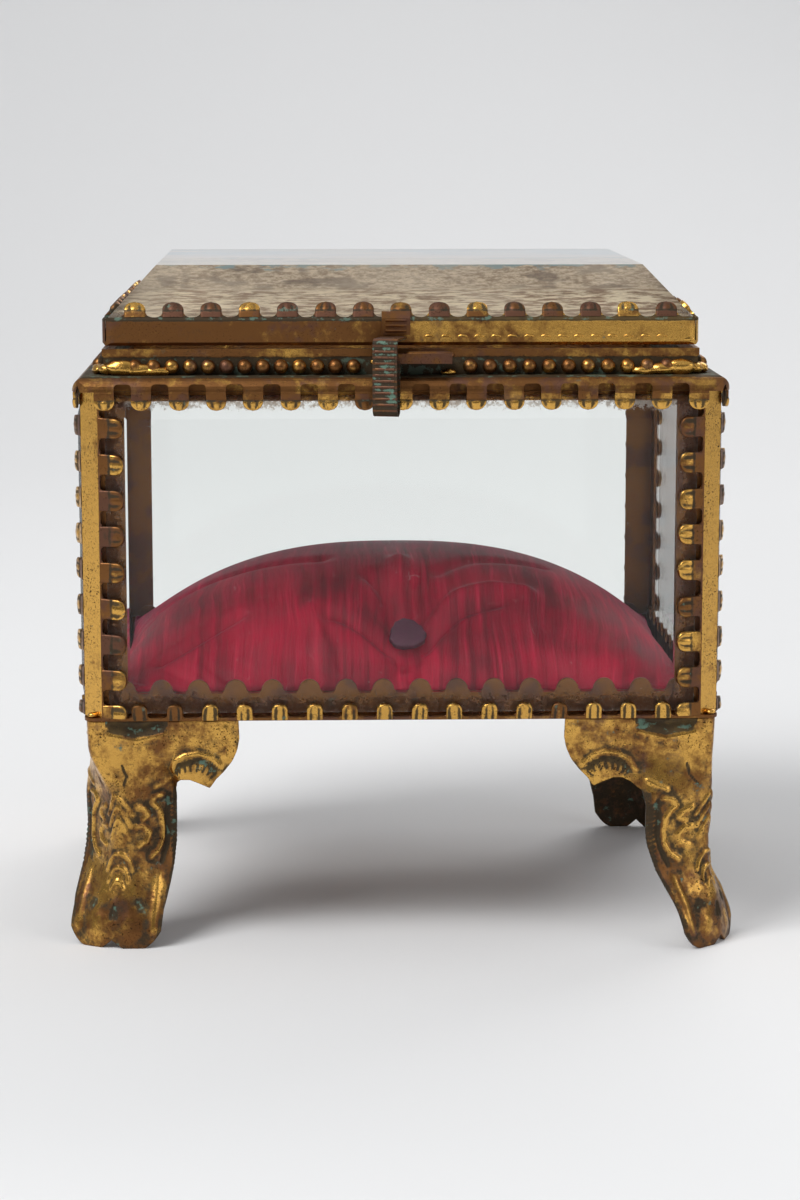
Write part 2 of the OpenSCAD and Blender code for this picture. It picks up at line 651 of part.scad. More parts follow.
// Lid strip: lip under the card, upright band, and tabs laid on the bevel of the glass
module lid_side(w, d) {
    root = 0.3;
    run = w - 2 * 4.2;
    n = count_in(run, lid_pitch);
    lean = [-cos(lid_slope), sin(lid_slope)];
    mid = -strip_t / 2;
    wall_run(w, d)
        ribbon([[-lip_w, lid_lo + strip_t / 2], [mid - 0.3, lid_lo + strip_t / 2], [mid, lid_lo + strip_t / 2 + 0.3],
            [mid, lid_fold], [mid + root * lean[0], lid_fold + root * lean[1]]], strip_t);
    lay([0, d / 2 + mid, lid_fold], [1, 0, 0], [0, lean[0], lean[1]])
        comb(n, pitch_in(run, lid_pitch), lid_tab_w, lid_tab_l, root, strip_t, 0.95);
}

module lid_frame() {
    corner_r = 1.6;
    color("goldenrod") intersection() {
        for (k = [BACK, LEFT, FRONT, RIGHT])
            on_side(k) lid_side(k % 2 == 0 ? lid_w : lid_d, k % 2 == 0 ? lid_d : lid_w);
        linear_extrude(200) rounded_plan(lid_w, lid_d, corner_r);
    }
}

// Half section of the lid glass across a plan width: straight edge, bevel, flat top
module lid_glass_profile(l) {
    half = l / 2 - lid_inset;
    // Where the bevel passes, so that the tabs lie on it
    fold = [l / 2 - strip_t / 2, lid_fold];
    off = (strip_t / 2 + seat_gap) / sin(lid_slope);
    knee_z = fold[1] + (fold[0] - off - half) * tan(lid_slope);
    top_half = half - (lid_top - knee_z) / tan(lid_slope);
    polygon([[-half, lid_glass_lo], [half, lid_glass_lo], [half, knee_z], [top_half, lid_top],
        [-top_half, lid_top], [-half, knee_z]]);
}

module lid_glass() {
    color("lightcyan", 0.4) intersection() {
        rotate([90, 0, 0]) linear_extrude(lid_d, center = true) lid_glass_profile(lid_w);
        rotate([90, 0, 90]) linear_extrude(lid_w, center = true) lid_glass_profile(lid_d);
    }
}

module lid_sheet(z, t, inset) {
    translate([-lid_w / 2 + inset, -lid_d / 2 + inset, z])
        cube([lid_w - 2 * inset, lid_d - 2 * inset, t]);
}

module lid_print() color("wheat") lid_sheet(print_lo, print_t, lid_inset + 0.2);
module lid_backing() color("tan") lid_sheet(lid_backing_lo, backing_t, lid_inset + 0.2);

// End of the clasp on the lid strip, bent over the middle tab, with three ribs
module clasp_plate() {
    lean = [-cos(lid_slope), sin(lid_slope)];
    face = lid_d / 2 + seat_gap + clasp_t / 2;
    plate_lo = clasp_bend_z + 0.3;
    rib_r = 0.2;
    plate_w = clasp_w + 0.5;
    color("sienna") translate([clasp_x + 0.2, 0, 0]) {
        rotate([90, 0, 90]) mirror([1, 0, 0]) linear_extrude(plate_w, center = true)
            ribbon([[face, plate_lo], [face, lid_fold + 0.15],
                [face + lean[0] * 1.1, lid_fold + 0.15 + lean[1] * 1.1]], clasp_t);
        for (i = [0:2]) translate([0, -face - clasp_t / 2, plate_lo + 0.5 + 0.65 * i]) rotate([0, 90, 0])
            cylinder(h = plate_w - 1, r = rib_r, center = true);
    }
}

// Spring strip: step out over the shoulder, ribbed front, and loop back up behind
module clasp_strip() {
    bottom_z = clasp_bend_z - clasp_drop;
    back_y = clasp_front_y - 2 * clasp_loop_r;
    rib_n = 10;
    rib_pitch = (clasp_drop - 2) / rib_n;
    color("sienna") translate([clasp_x, -clasp_root_y, 0]) rotate([0, 0, -clasp_turn]) translate([0, clasp_root_y, 0]) {
        rotate([90, 0, 90]) mirror([1, 0, 0]) linear_extrude(clasp_w, center = true) {
            ribbon(concat([[clasp_root_y, clasp_bend_z], [clasp_front_y - 0.4, clasp_bend_z],
                [clasp_front_y, clasp_bend_z - 0.4]],
                arc([clasp_front_y - clasp_loop_r, bottom_z + clasp_loop_r], clasp_loop_r, 0, -180, 8),
                [[back_y, catch_z + 0.2]]), clasp_t);
            translate([clasp_root_y, clasp_bend_z]) circle(clasp_t / 2);
        }
        for (i = [0:rib_n - 1])
            translate([0, -clasp_front_y - clasp_t / 2 + 0.08, clasp_bend_z - 1 - rib_pitch * (i + 0.5)])
                rotate([0, 90, 0]) cylinder(h = clasp_w - 0.7, r = 0.2, center = true);
    }
}

glass_front();
glass_back();
glass_left();
glass_right();
post_front_left();
post_front_right();
post_back_left();
post_back_right();
top_rail_front();
top_rail_back();
top_rail_left();
top_rail_right();
bottom_rail_front();
bottom_rail_back();
bottom_rail_left();
bottom_rail_right();
angle_front_left();
angle_front_right();
angle_back_left();
angle_back_right();
base_tray();
cushion_board();
cushion();
cushion_button();
leg_front_left();
leg_front_right();
leg_back_left();
leg_back_right();
catch_ledge();
hinge_leaf_box();
hinge_pin();
lid_frame();
lid_glass();
lid_print();
lid_backing();
hinge_leaf_lid();
clasp_plate();
clasp_strip();
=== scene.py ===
"""Dresses the packed glass casket box: metal, glass, legs, tabs, cushion, lid print, solder and stage."""
import math
import random

import bmesh
import bpy
import numpy as np
from mathutils import Matrix, Vector, noise


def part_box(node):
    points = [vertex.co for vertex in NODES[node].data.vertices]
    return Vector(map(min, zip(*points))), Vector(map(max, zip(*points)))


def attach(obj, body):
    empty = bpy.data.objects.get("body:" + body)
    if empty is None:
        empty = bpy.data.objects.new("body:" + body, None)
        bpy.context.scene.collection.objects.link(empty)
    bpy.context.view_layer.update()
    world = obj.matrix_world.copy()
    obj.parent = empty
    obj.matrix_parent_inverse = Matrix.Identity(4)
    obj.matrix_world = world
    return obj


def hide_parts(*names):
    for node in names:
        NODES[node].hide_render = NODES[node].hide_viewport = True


bl_info = {
    "name": "Glass casket box",
    "version": (1, 0, 0),
    "blender": (4, 5, 0),
    "location": "3D View > Sidebar > Casket",
    "description": "Finishes a glass casket with pronged brass strip, stamped legs and a tufted cushion",
    "category": "Object",
}

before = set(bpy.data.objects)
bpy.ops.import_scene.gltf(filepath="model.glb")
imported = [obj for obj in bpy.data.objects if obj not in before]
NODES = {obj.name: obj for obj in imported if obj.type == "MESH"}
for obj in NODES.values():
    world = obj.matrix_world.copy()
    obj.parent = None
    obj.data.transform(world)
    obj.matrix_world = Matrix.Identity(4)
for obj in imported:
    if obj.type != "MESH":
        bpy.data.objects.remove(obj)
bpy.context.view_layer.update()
MM = 0.001

# Sizes shared with the solids, in millimetres
CASE_W, CASE_D, LEG_H = 81.0, 64.0, 29.6
CHAMFER = 2.4
STRIP_T = 0.4
TILT = math.atan2(0.8, 2.8)
LID_SLOPE = math.radians(47.2)
FOLD_LO = LEG_H + STRIP_T / 2
FOLD_HI = LEG_H + 41.7
RIM_TOP = FOLD_HI + 5.45
LID_LO = RIM_TOP + 0.4
LID_FOLD = LID_LO + 3.2
LID_W, LID_D = CASE_W - 5.6, CASE_D - 5.6
SIDES = ("back", "left", "front", "right")
CORNERS = ("front_left", "front_right", "back_left", "back_right")


# Reading and writing meshes


def tube_faces(rows, around, start=0):
    """Faces of an open tube whose rings of points follow each other."""
    return [(start + j * around + i, start + j * around + (i + 1) % around,
             start + (j + 1) * around + (i + 1) % around, start + (j + 1) * around + i)
            for j in range(rows) for i in range(around)]


def mesh_object(name, points, faces, smooth=True):
    """A new object from points in millimetres."""
    mesh = bpy.data.meshes.new(name)
    mesh.from_pydata([tuple(c * MM for c in p) for p in points], [], faces)
    mesh.update()
    if smooth:
        mesh.polygons.foreach_set("use_smooth", [True] * len(mesh.polygons))
    obj = bpy.data.objects.new(name, mesh)
    bpy.context.scene.collection.objects.link(obj)
    return obj


def point_values(obj, name, values):
    """Stores one number for each vertex, for the materials to read."""
    layer = obj.data.attributes.new(name, "FLOAT", "POINT")
    layer.data.foreach_set("value", np.asarray(values, np.float32))


def grid_faces(rows, cols, start=0, flip=False):
    faces = []
    for j in range(rows - 1):
        for i in range(cols - 1):
            a = start + j * cols + i
            quad = (a, a + 1, a + cols + 1, a + cols)
            faces.append(quad[::-1] if flip else quad)
    return faces


def finish_piece(obj, material, body):
    obj.data.materials.clear()
    obj.data.materials.append(material)
    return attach(obj, body)


def ease(x):
    x = np.clip(x, 0.0, 1.0)
    return x * x * (3 - 2 * x)


# Building materials


def fill(tree, node, values):
    """Links or sets a node's inputs."""
    for key, value in values.items():
        if isinstance(value, bpy.types.NodeSocket):
            tree.links.new(value, node.inputs[key])
        else:
            node.inputs[key].default_value = value


def add(tree, kind, values=None, **props):
    """A new node, its named properties set, and its inputs linked or filled."""
    made = tree.nodes.new(kind)
    for key, value in props.items():
        setattr(made, key, value)
    fill(tree, made, values or {})
    return made


def math_node(tree, operation, a, b=0.0, clamp=False):
    return add(tree, "ShaderNodeMath", {0: a, 1: b}, operation=operation, use_clamp=clamp).outputs[0]


def times(tree, a, b):
    return math_node(tree, "MULTIPLY", a, b)


def weighted(tree, terms, start=0.0):
    """The sum of values, each times its weight."""
    total = start
    for value, weight in terms:
        made = add(tree, "ShaderNodeMath", {0: value, 1: weight, 2: total}, operation="MULTIPLY_ADD")
        total = made.outputs[0]
    return total


def split(tree, vector):
    """The three numbers of a vector."""
    return add(tree, "ShaderNodeSeparateXYZ", {"Vector": vector}).outputs


def past_side(tree, axes, inset):
    """How far a place lies past the planes a given distance inside the case's sides: across and deep."""
    return [math_node(tree, "SUBTRACT", math_node(tree, "ABSOLUTE", axes[axis]), (size / 2 - inset) * MM)
            for axis, size in (("X", CASE_W), ("Y", CASE_D))]


def mix_colour(tree, factor, a, b):
    made = add(tree, "ShaderNodeMix", {"Factor": factor, "A": a, "B": b}, data_type="RGBA")
    return made.outputs["Result"]


def wash(tree, mask, share, under, over):
    """A colour laid over another through a mask, by a share at most."""
    return mix_colour(tree, times(tree, mask, share), under, over)


def ramp(tree, factor, low, high):
    """0 below low, 1 above high, eased between."""
    made = add(tree, "ShaderNodeMapRange", {0: factor, 1: low, 2: high, 3: 0.0, 4: 1.0},
               interpolation_type="SMOOTHSTEP")
    return made.outputs[0]


def noise_fac(tree, vector, scale, detail=3.0, roughness=0.55):
    made = add(tree, "ShaderNodeTexNoise", {"Vector": vector, "Scale": scale, "Detail": detail,
                                            "Roughness": roughness})
    return made.outputs["Fac"]


def new_group(name, inputs, outputs):
    """A shader node group, with its input and output nodes."""
    tree = bpy.data.node_groups.new(name, "ShaderNodeTree")
    for label, kind, value in inputs:
        socket = tree.interface.new_socket(label, in_out="INPUT", socket_type=kind)
        if value is not None:
            socket.default_value = value
    for label, kind in outputs:
        tree.interface.new_socket(label, in_out="OUTPUT", socket_type=kind)
    return tree, tree.nodes.new("NodeGroupInput"), tree.nodes.new("NodeGroupOutput")


def place(tree, group, values):
    return add(tree, "ShaderNodeGroup", values, node_tree=group)


FLOAT, VECTOR, COLOUR = "NodeSocketFloat", "NodeSocketVector", "NodeSocketColor"


def tarnish_group():
    """Gold metal that goes brown and mauve in patches, with grime and painted shade, black pits and green
    salts.
    """
    tree, given, out = new_group(
        "Tarnish",
        [("Place", VECTOR, None), ("Hollow", FLOAT, 0.0), ("Tone", FLOAT, 0.5), ("Gold", COLOUR, None),
         ("Brown", COLOUR, None), ("Green", COLOUR, None), ("Pits", FLOAT, 0.5), ("Salts", FLOAT, 0.5)],
        [("Color", COLOUR), ("Roughness", FLOAT), ("Metallic", FLOAT), ("Height", FLOAT)])
    spot, hollow, tone = (given.outputs[name] for name in ("Place", "Hollow", "Tone"))
    broad = noise_fac(tree, spot, 150.0, 3.0)
    middle = noise_fac(tree, spot, 480.0, 5.0, 0.65)
    fine = noise_fac(tree, spot, 1500.0, 4.0, 0.7)
    # The tone shifts the brown patches; on tabs and legs it carries painted highlight and shade.
    wear_and_light = weighted(tree, ((broad, 0.6), (middle, 0.55), (fine, 0.25), (tone, 0.6)), -0.42)
    brown = ramp(tree, wear_and_light, 0.4, 0.62)
    colour = mix_colour(tree, brown, given.outputs["Gold"], given.outputs["Brown"])
    mauve = weighted(tree, ((noise_fac(tree, spot, 260.0, 4.0, 0.6), 1.0), (tone, 0.3)))
    mauve = ramp(tree, mauve, 0.68, 0.84)
    colour = wash(tree, mauve, 0.75, colour, (0.13, 0.065, 0.05, 1))
    dirt_noise = noise_fac(tree, spot, 700.0, 5.0, 0.75)
    # Grime in random patches, and painted shade: the hollow mask darkens recesses, folds and edges as shade
    # would.
    grime_and_shade = ramp(tree, weighted(tree, ((dirt_noise, 1.0), (hollow, 0.9), (broad, 0.3))), 0.74, 1.0)
    colour = wash(tree, grime_and_shade, 0.9, colour, (0.035, 0.026, 0.012, 1))
    specks = noise_fac(tree, spot, 3600.0, 2.0, 0.8)
    pit_zone = ramp(tree, noise_fac(tree, spot, 230.0, 3.0), 0.34, 0.6)
    pits = times(tree, ramp(tree, specks, 0.58, 0.64), times(tree, pit_zone, given.outputs["Pits"]))
    colour = mix_colour(tree, pits, colour, (0.02, 0.012, 0.006, 1))
    salt_noise = weighted(tree, ((noise_fac(tree, spot, 520.0, 4.0, 0.7), 1.0), (hollow, 0.14)))
    salts = times(tree, ramp(tree, salt_noise, 0.66, 0.75), given.outputs["Salts"])
    colour = mix_colour(tree, salts, colour, given.outputs["Green"])
    dull = math_node(tree, "MAXIMUM", math_node(tree, "MAXIMUM", salts, grime_and_shade), pits)
    rough = weighted(tree, ((brown, 0.14), (fine, 0.3), (mauve, 0.12)), 0.1)
    rough = math_node(tree, "MAXIMUM", rough, times(tree, dull, 0.7))
    metal = weighted(tree, ((salts, -0.85), (grime_and_shade, -0.5)), 1.0)
    height = weighted(tree, ((middle, 0.5), (fine, 0.5), (pits, -1.0), (grime_and_shade, 0.4)))
    fill(tree, out, {"Color": colour, "Roughness": rough, "Metallic": metal, "Height": height})
    return tree


def lines_group():
    """Fine drawn lines across a strip, varying along one direction."""
    tree, given, out = new_group("Drawn lines", [("Place", VECTOR, None), ("Along", VECTOR, (1, 0, 0)),
                                                 ("Scale", FLOAT, 900.0)], [("Height", FLOAT)])
    spot = given.outputs["Place"]
    along = add(tree, "ShaderNodeVectorMath", {0: spot, 1: given.outputs["Along"]},
                operation="DOT_PRODUCT").outputs["Value"]
    stretched = add(tree, "ShaderNodeVectorMath", {0: spot, "Scale": 0.06}, operation="SCALE")
    line = add(tree, "ShaderNodeCombineXYZ", {"X": along})
    where = add(tree, "ShaderNodeVectorMath", {0: line.outputs[0], 1: stretched.outputs[0]}, operation="ADD")
    tree.links.new(noise_fac(tree, where.outputs[0], given.outputs["Scale"], 2.0), out.inputs["Height"])
    return tree


def dust_group():
    """Specks, short hairs and a film of dust."""
    tree, given, out = new_group(
        "Dust", [("Place", VECTOR, None), ("Film", FLOAT, 0.2), ("Specks", FLOAT, 0.5)], [("Mask", FLOAT)])
    spot = given.outputs["Place"]
    film = times(tree, ramp(tree, noise_fac(tree, spot, 130.0, 5.0, 0.7), 0.45, 0.8), given.outputs["Film"])
    bent = add(tree, "ShaderNodeTexNoise", {"Vector": spot, "Scale": 260.0, "Detail": 1.0})
    shifted = add(tree, "ShaderNodeVectorMath", {0: bent.outputs["Color"], "Scale": 0.004}, operation="SCALE")
    where = add(tree, "ShaderNodeVectorMath", {0: spot, 1: shifted.outputs[0]}, operation="ADD").outputs[0]
    hairs = add(tree, "ShaderNodeTexVoronoi", {"Vector": where, "Scale": 300.0}, feature="DISTANCE_TO_EDGE")
    hair = ramp(tree, math_node(tree, "SUBTRACT", 1.0, hairs.outputs["Distance"]), 0.985, 0.998)
    hair = times(tree, hair, ramp(tree, noise_fac(tree, spot, 420.0, 2.0), 0.6, 0.68))
    speck_cells = add(tree, "ShaderNodeTexVoronoi", {"Vector": spot, "Scale": 900.0})
    speck = ramp(tree, math_node(tree, "SUBTRACT", 1.0, speck_cells.outputs["Distance"]), 0.86, 0.94)
    speck = times(tree, speck, ramp(tree, noise_fac(tree, spot, 700.0, 2.0), 0.58, 0.64))
    both = times(tree, math_node(tree, "MAXIMUM", hair, speck), given.outputs["Specks"])
    tree.links.new(math_node(tree, "ADD", film, both, clamp=True), out.inputs["Mask"])
    return tree


GROUPS = {}


def group(name, maker):
    """The node group of that name, made at its first use."""
    if name not in GROUPS:
        GROUPS[name] = maker()
    return GROUPS[name]


def new_material(name):
    mat = bpy.data.materials.new(name)
    mat.use_nodes = True
    tree = mat.node_tree
    tree.nodes.clear()
    shader = add(tree, "ShaderNodeBsdfPrincipled")
    add(tree, "ShaderNodeOutputMaterial", {"Surface": shader.outputs[0]})
    return mat, tree, shader, add(tree, "ShaderNodeTexCoord").outputs["Object"]


def connect(tree, shader, **values):
    """Links or sets a shader's inputs, their names written with underscores."""
    fill(tree, shader, {label.replace("_", " "): value for label, value in values.items()})


def bump_from(tree, height, strength, distance=0.1):
    """The normal of a surface raised by a height, at most by a distance in millimetres."""
    values = {"Height": height, "Strength": strength, "Distance": distance * MM}
    return add(tree, "ShaderNodeBump", values).outputs[0]


def brass(name, along=None, tone=0.4, pits=0.5, salts=0.5, layers=False, hollow=None, face=None, fade=False,
          bump=0.3, line_scale=1100.0):
    """Tarnished brass. With layers, the piece carries its tone and hollow as vertex values. Hollow is a
    function that draws a mask from the place, and face the tone of faces that look along a diagonal.
    With fade, the tone falls from the left to the right."""
    look = bpy.context.scene.casket_metal
    mat, tree, shader, spot = new_material(name)
    values = {"Place": spot, "Gold": (*look.gold, 1), "Brown": (*look.brown, 1), "Green": (*look.salts, 1),
              "Tone": tone, "Pits": pits, "Salts": salts, "Hollow": 0.0}
    if layers:
        values["Tone"] = add(tree, "ShaderNodeAttribute", attribute_name="tone").outputs["Fac"]
        values["Hollow"] = add(tree, "ShaderNodeAttribute", attribute_name="hollow").outputs["Fac"]
    if hollow:
        values["Hollow"] = hollow(tree, spot)
    if fade:
        rightward = ramp(tree, split(tree, spot)["X"], -LID_W / 2 * MM, LID_W / 2 * MM)
        values["Tone"] = weighted(tree, ((rightward, -0.55),), tone + 0.25)
    if face is not None:
        values["Tone"] = weighted(tree, ((diagonal_faces(tree), face - tone),), tone)
    metal = place(tree, group("Tarnish", tarnish_group), values)
    height = metal.outputs["Height"]
    if along:
        lines = place(tree, group("Drawn lines", lines_group),
                      {"Place": spot, "Along": along, "Scale": line_scale})
        height = weighted(tree, ((lines.outputs[0], 0.8), (height, 1.0)))
    connect(tree, shader, Base_Color=metal.outputs["Color"], Roughness=metal.outputs["Roughness"],
            Metallic=metal.outputs["Metallic"], Normal=bump_from(tree, height, bump))
    return mat


def diagonal_faces(tree):
    """1 on upright faces that look along a diagonal of the case."""
    normal = add(tree, "ShaderNodeNewGeometry").outputs["True Normal"]
    axes = split(tree, normal)
    level = [math_node(tree, "ABSOLUTE", axes[axis]) for axis in "XY"]
    return ramp(tree, math_node(tree, "MINIMUM", *level), 0.5, 0.65)


# Heights of the seam under the beads and of the clasp's lowest rib, the ribs' pitch, and how far the
# neck of the top rail stands in from the side
SEAM_Z, RIB_Z, RIB_PITCH, NECK_IN = 73.55, 76.83, 0.735, 2.95


def near_height(tree, height, level, far, close):
    """1 within a close distance of a height, 0 beyond a far one, in millimetres."""
    off = math_node(tree, "ABSOLUTE", math_node(tree, "SUBTRACT", height, level * MM))
    return ramp(tree, off, far * MM, close * MM)


# The hollow masks below darken the brass as painted shade, besides drawing its green salts.
def rail_groove(tree, spot):
    """1 in the groove behind the beads of the top rail, and along the seam under them."""
    axes = split(tree, spot)
    stand = math_node(tree, "MAXIMUM", *past_side(tree, axes, NECK_IN))
    near = ramp(tree, stand, 1.1 * MM, 0.3 * MM)
    low = times(tree, ramp(tree, axes["Z"], 73.1 * MM, 73.6 * MM),
                ramp(tree, axes["Z"], 75.9 * MM, 75.3 * MM))
    seam = near_height(tree, axes["Z"], SEAM_Z, 0.35, 0.05)
    return math_node(tree, "MAXIMUM", times(tree, near, low), seam)


def lid_seams(tree, spot):
    """1 along the fold of the lid's strip."""
    return near_height(tree, split(tree, spot)["Z"], LID_FOLD + 0.2, 0.5, 0.1)


def clasp_grooves(tree, spot):
    """1 in the grooves between the ribs of the clasp."""
    turns = times(tree, math_node(tree, "SUBTRACT", split(tree, spot)["Z"], RIB_Z * MM),
                  2 * math.pi / (RIB_PITCH * MM))
    return weighted(tree, ((math_node(tree, "COSINE", turns), -0.5),), 0.5)


MATERIALS = {}


def finish(name):
    """The material of that name, made at its first use."""
    if name not in MATERIALS:
        MATERIALS[name] = FINISHES[name](name)
    return MATERIALS[name]


def glass(name, thick=False):
    """Clear glass with a little dust, thickest along the edges of a pane. The thin panes stand as if
    bloomed, so the pale floor doesn't veil the cushion behind them."""
    look = bpy.context.scene.casket_glass
    mat, tree, shader, spot = new_material(name)
    dust = place(tree, group("Dust", dust_group), {"Place": spot, "Film": 0.03, "Specks": look.dust})
    grain = noise_fac(tree, spot, 1700.0, 4.0, 0.8)
    patch = noise_fac(tree, spot, 150.0, 4.0, 0.7)
    border = weighted(tree, ((pane_edge(tree, spot), 0.75), (grain, 0.5), (patch, 0.5)))
    border = ramp(tree, border, 0.85, 1.4)
    brown = ramp(tree, weighted(tree, ((grain, 1.0), (border, 0.4))), 0.72, 0.86)
    colour = wash(tree, border, 0.25, (*look.tint, 1), (0.75, 0.7, 0.62, 1))
    colour = wash(tree, brown, 0.8, colour, (0.3, 0.2, 0.12, 1))
    rough = weighted(tree, ((dust.outputs[0], 0.4), (border, 0.3), (brown, 0.3)))
    index, gloss = (1.5, 0.5) if thick else (1.25, 0.2)
    connect(tree, shader, Base_Color=colour, Roughness=rough, Transmission_Weight=1.0, IOR=index,
            Specular_IOR_Level=gloss)
    return mat


def pane_edge(tree, spot):
    """1 along the edges of the four upright panes."""
    axes = split(tree, spot)
    height = axes["Z"]
    side = ramp(tree, math_node(tree, "MINIMUM", *past_side(tree, axes, CHAMFER)), -5.0 * MM, -1.5 * MM)
    foot = ramp(tree, height, (FOLD_LO + 6.0) * MM, (FOLD_LO + 1.5) * MM)
    head = times(tree, ramp(tree, height, (FOLD_HI - 4.0) * MM, (FOLD_HI - 1.0) * MM),
                 ramp(tree, height, (FOLD_HI + 2.0) * MM, FOLD_HI * MM))
    return math_node(tree, "MAXIMUM", side, math_node(tree, "MAXIMUM", foot, head))


def satin(name):
    """Ribbed raspberry satin with dust on it, with painted sheen and shade along its ribs and towards the
    back.
    """
    look = bpy.context.scene.casket_cushion
    mat, tree, shader, spot = new_material(name)
    cloth = tuple(look.satin)
    axes = split(tree, spot)
    across = weighted(tree, ((noise_fac(tree, spot, 60.0, 2.0), 0.003),), axes["X"])
    deep = times(tree, axes["Y"], 0.05)
    streak_place = add(tree, "ShaderNodeCombineXYZ", {"X": across, "Y": deep})
    streak = noise_fac(tree, streak_place.outputs[0], 900.0, 5.0, 0.65)
    ribs = noise_fac(tree, streak_place.outputs[0], 2600.0, 2.0)
    blotch = noise_fac(tree, spot, 90.0, 3.0)
    # Painted shade: the satin turns a darker purple towards the back, where its sheen falls away.
    back_shade = ramp(tree, weighted(tree, ((axes["Y"], 14.0), (blotch, 0.5))), 0.1, 0.6)
    # Painted sheen and shade: streaks along the ribs mix a dark copy of the cloth with the lit cloth, varied
    # by random blotches.
    shade = weighted(tree, ((streak, 0.55), (blotch, 0.55)))
    colour = mix_colour(tree, ramp(tree, shade, 0.38, 0.72), (*(c * 0.3 for c in cloth), 1), (*cloth, 1))
    colour = wash(tree, back_shade, 0.65, colour, (0.10, 0.008, 0.045, 1))
    # Lighter pink along the ribs and streaks: partly worn cloth, partly painted sheen.
    faded_and_sheen = (min(1.0, cloth[0] * 1.5), cloth[1] * 3.5, cloth[2] * 2.0, 1)
    wear_and_light = ramp(tree, weighted(tree, ((ribs, 0.5), (streak, 0.5))), 0.53, 0.7)
    colour = wash(tree, wear_and_light, 0.5, colour, faded_and_sheen)
    dust = place(tree, group("Dust", dust_group), {"Place": spot, "Film": 0.08, "Specks": 0.5})
    colour = wash(tree, dust.outputs[0], 0.6, colour, (0.5, 0.36, 0.38, 1))
    height = weighted(tree, ((ribs, 0.5), (streak, 1.0)))
    normal = bump_from(tree, height, 0.7, 0.15)
    rough = weighted(tree, ((blotch, 0.2),), 0.38)
    connect(tree, shader, Base_Color=colour, Normal=normal, Roughness=rough, Specular_IOR_Level=0.12,
            Sheen_Weight=0.06, Sheen_Roughness=0.4, Sheen_Tint=(1.0, 0.3, 0.5, 1), Anisotropic=0.4)
    return mat


def woven(name, dark, light, scale=2200.0, rough=0.8):
    """Plain cloth or card with a fine grain."""
    mat, tree, shader, spot = new_material(name)
    grain = noise_fac(tree, spot, scale, 4.0, 0.7)
    broad = noise_fac(tree, spot, 140.0, 3.0)
    shade = weighted(tree, ((grain, 0.5), (broad, 0.5)))
    colour = mix_colour(tree, ramp(tree, shade, 0.35, 0.65), (*dark, 1), (*light, 1))
    normal = bump_from(tree, grain, 0.3)
    connect(tree, shader, Base_Color=colour, Normal=normal, Roughness=rough)
    return mat


def landscape(name):
    """A made-up faded landscape in sepia: pale sky in bands, a far ridge, trees and a meadow."""
    mat, tree, shader, spot = new_material(name)
    axes = split(tree, spot)
    height = math_node(tree, "ADD", times(tree, axes["Y"], 1 / (LID_D * MM)), 0.5)
    wisps = add(tree, "ShaderNodeMapping", {"Vector": spot, "Scale": (1.0, 3.0, 1.0)})
    cloud = noise_fac(tree, wisps.outputs[0], 70.0, 5.0, 0.6)
    sky = mix_colour(tree, ramp(tree, height, 0.5, 0.8), (0.62, 0.5, 0.44, 1), (0.3, 0.42, 0.5, 1))
    sky = wash(tree, ramp(tree, cloud, 0.48, 0.66), 0.8, sky, (0.75, 0.62, 0.56, 1))
    along = add(tree, "ShaderNodeCombineXYZ", {"X": axes["X"]})
    ridge = times(tree, noise_fac(tree, along.outputs[0], 55.0, 4.0), 0.32)
    hills = ramp(tree, math_node(tree, "SUBTRACT", math_node(tree, "ADD", ridge, 0.4), height), -0.01, 0.02)
    picture = mix_colour(tree, hills, sky, (0.22, 0.3, 0.3, 1))
    crowns = times(tree, noise_fac(tree, spot, 260.0, 5.0, 0.7), 0.34)
    trees = ramp(tree, math_node(tree, "SUBTRACT", math_node(tree, "ADD", crowns, 0.36), height), -0.01, 0.03)
    leaves = ramp(tree, noise_fac(tree, spot, 900.0, 5.0, 0.75), 0.36, 0.64)
    foliage = mix_colour(tree, leaves, (0.24, 0.15, 0.08, 1), (0.64, 0.51, 0.36, 1))
    clumps = ramp(tree, noise_fac(tree, spot, 170.0, 3.0), 0.54, 0.64)
    foliage = wash(tree, clumps, 0.7, foliage, (0.12, 0.07, 0.04, 1))
    picture = mix_colour(tree, trees, picture, foliage)
    meadow = ramp(tree, math_node(tree, "SUBTRACT", 0.33, height), -0.02, 0.05)
    blades = ramp(tree, noise_fac(tree, wisps.outputs[0], 330.0, 5.0, 0.7), 0.4, 0.6)
    grass = mix_colour(tree, blades, (0.2, 0.1, 0.04, 1), (0.72, 0.6, 0.42, 1))
    picture = mix_colour(tree, meadow, picture, grass)
    fade = noise_fac(tree, spot, 45.0, 4.0)
    picture = wash(tree, ramp(tree, fade, 0.4, 0.75), 0.5, picture, (0.7, 0.58, 0.44, 1))
    connect(tree, shader, Base_Color=picture, Roughness=0.6)
    return mat


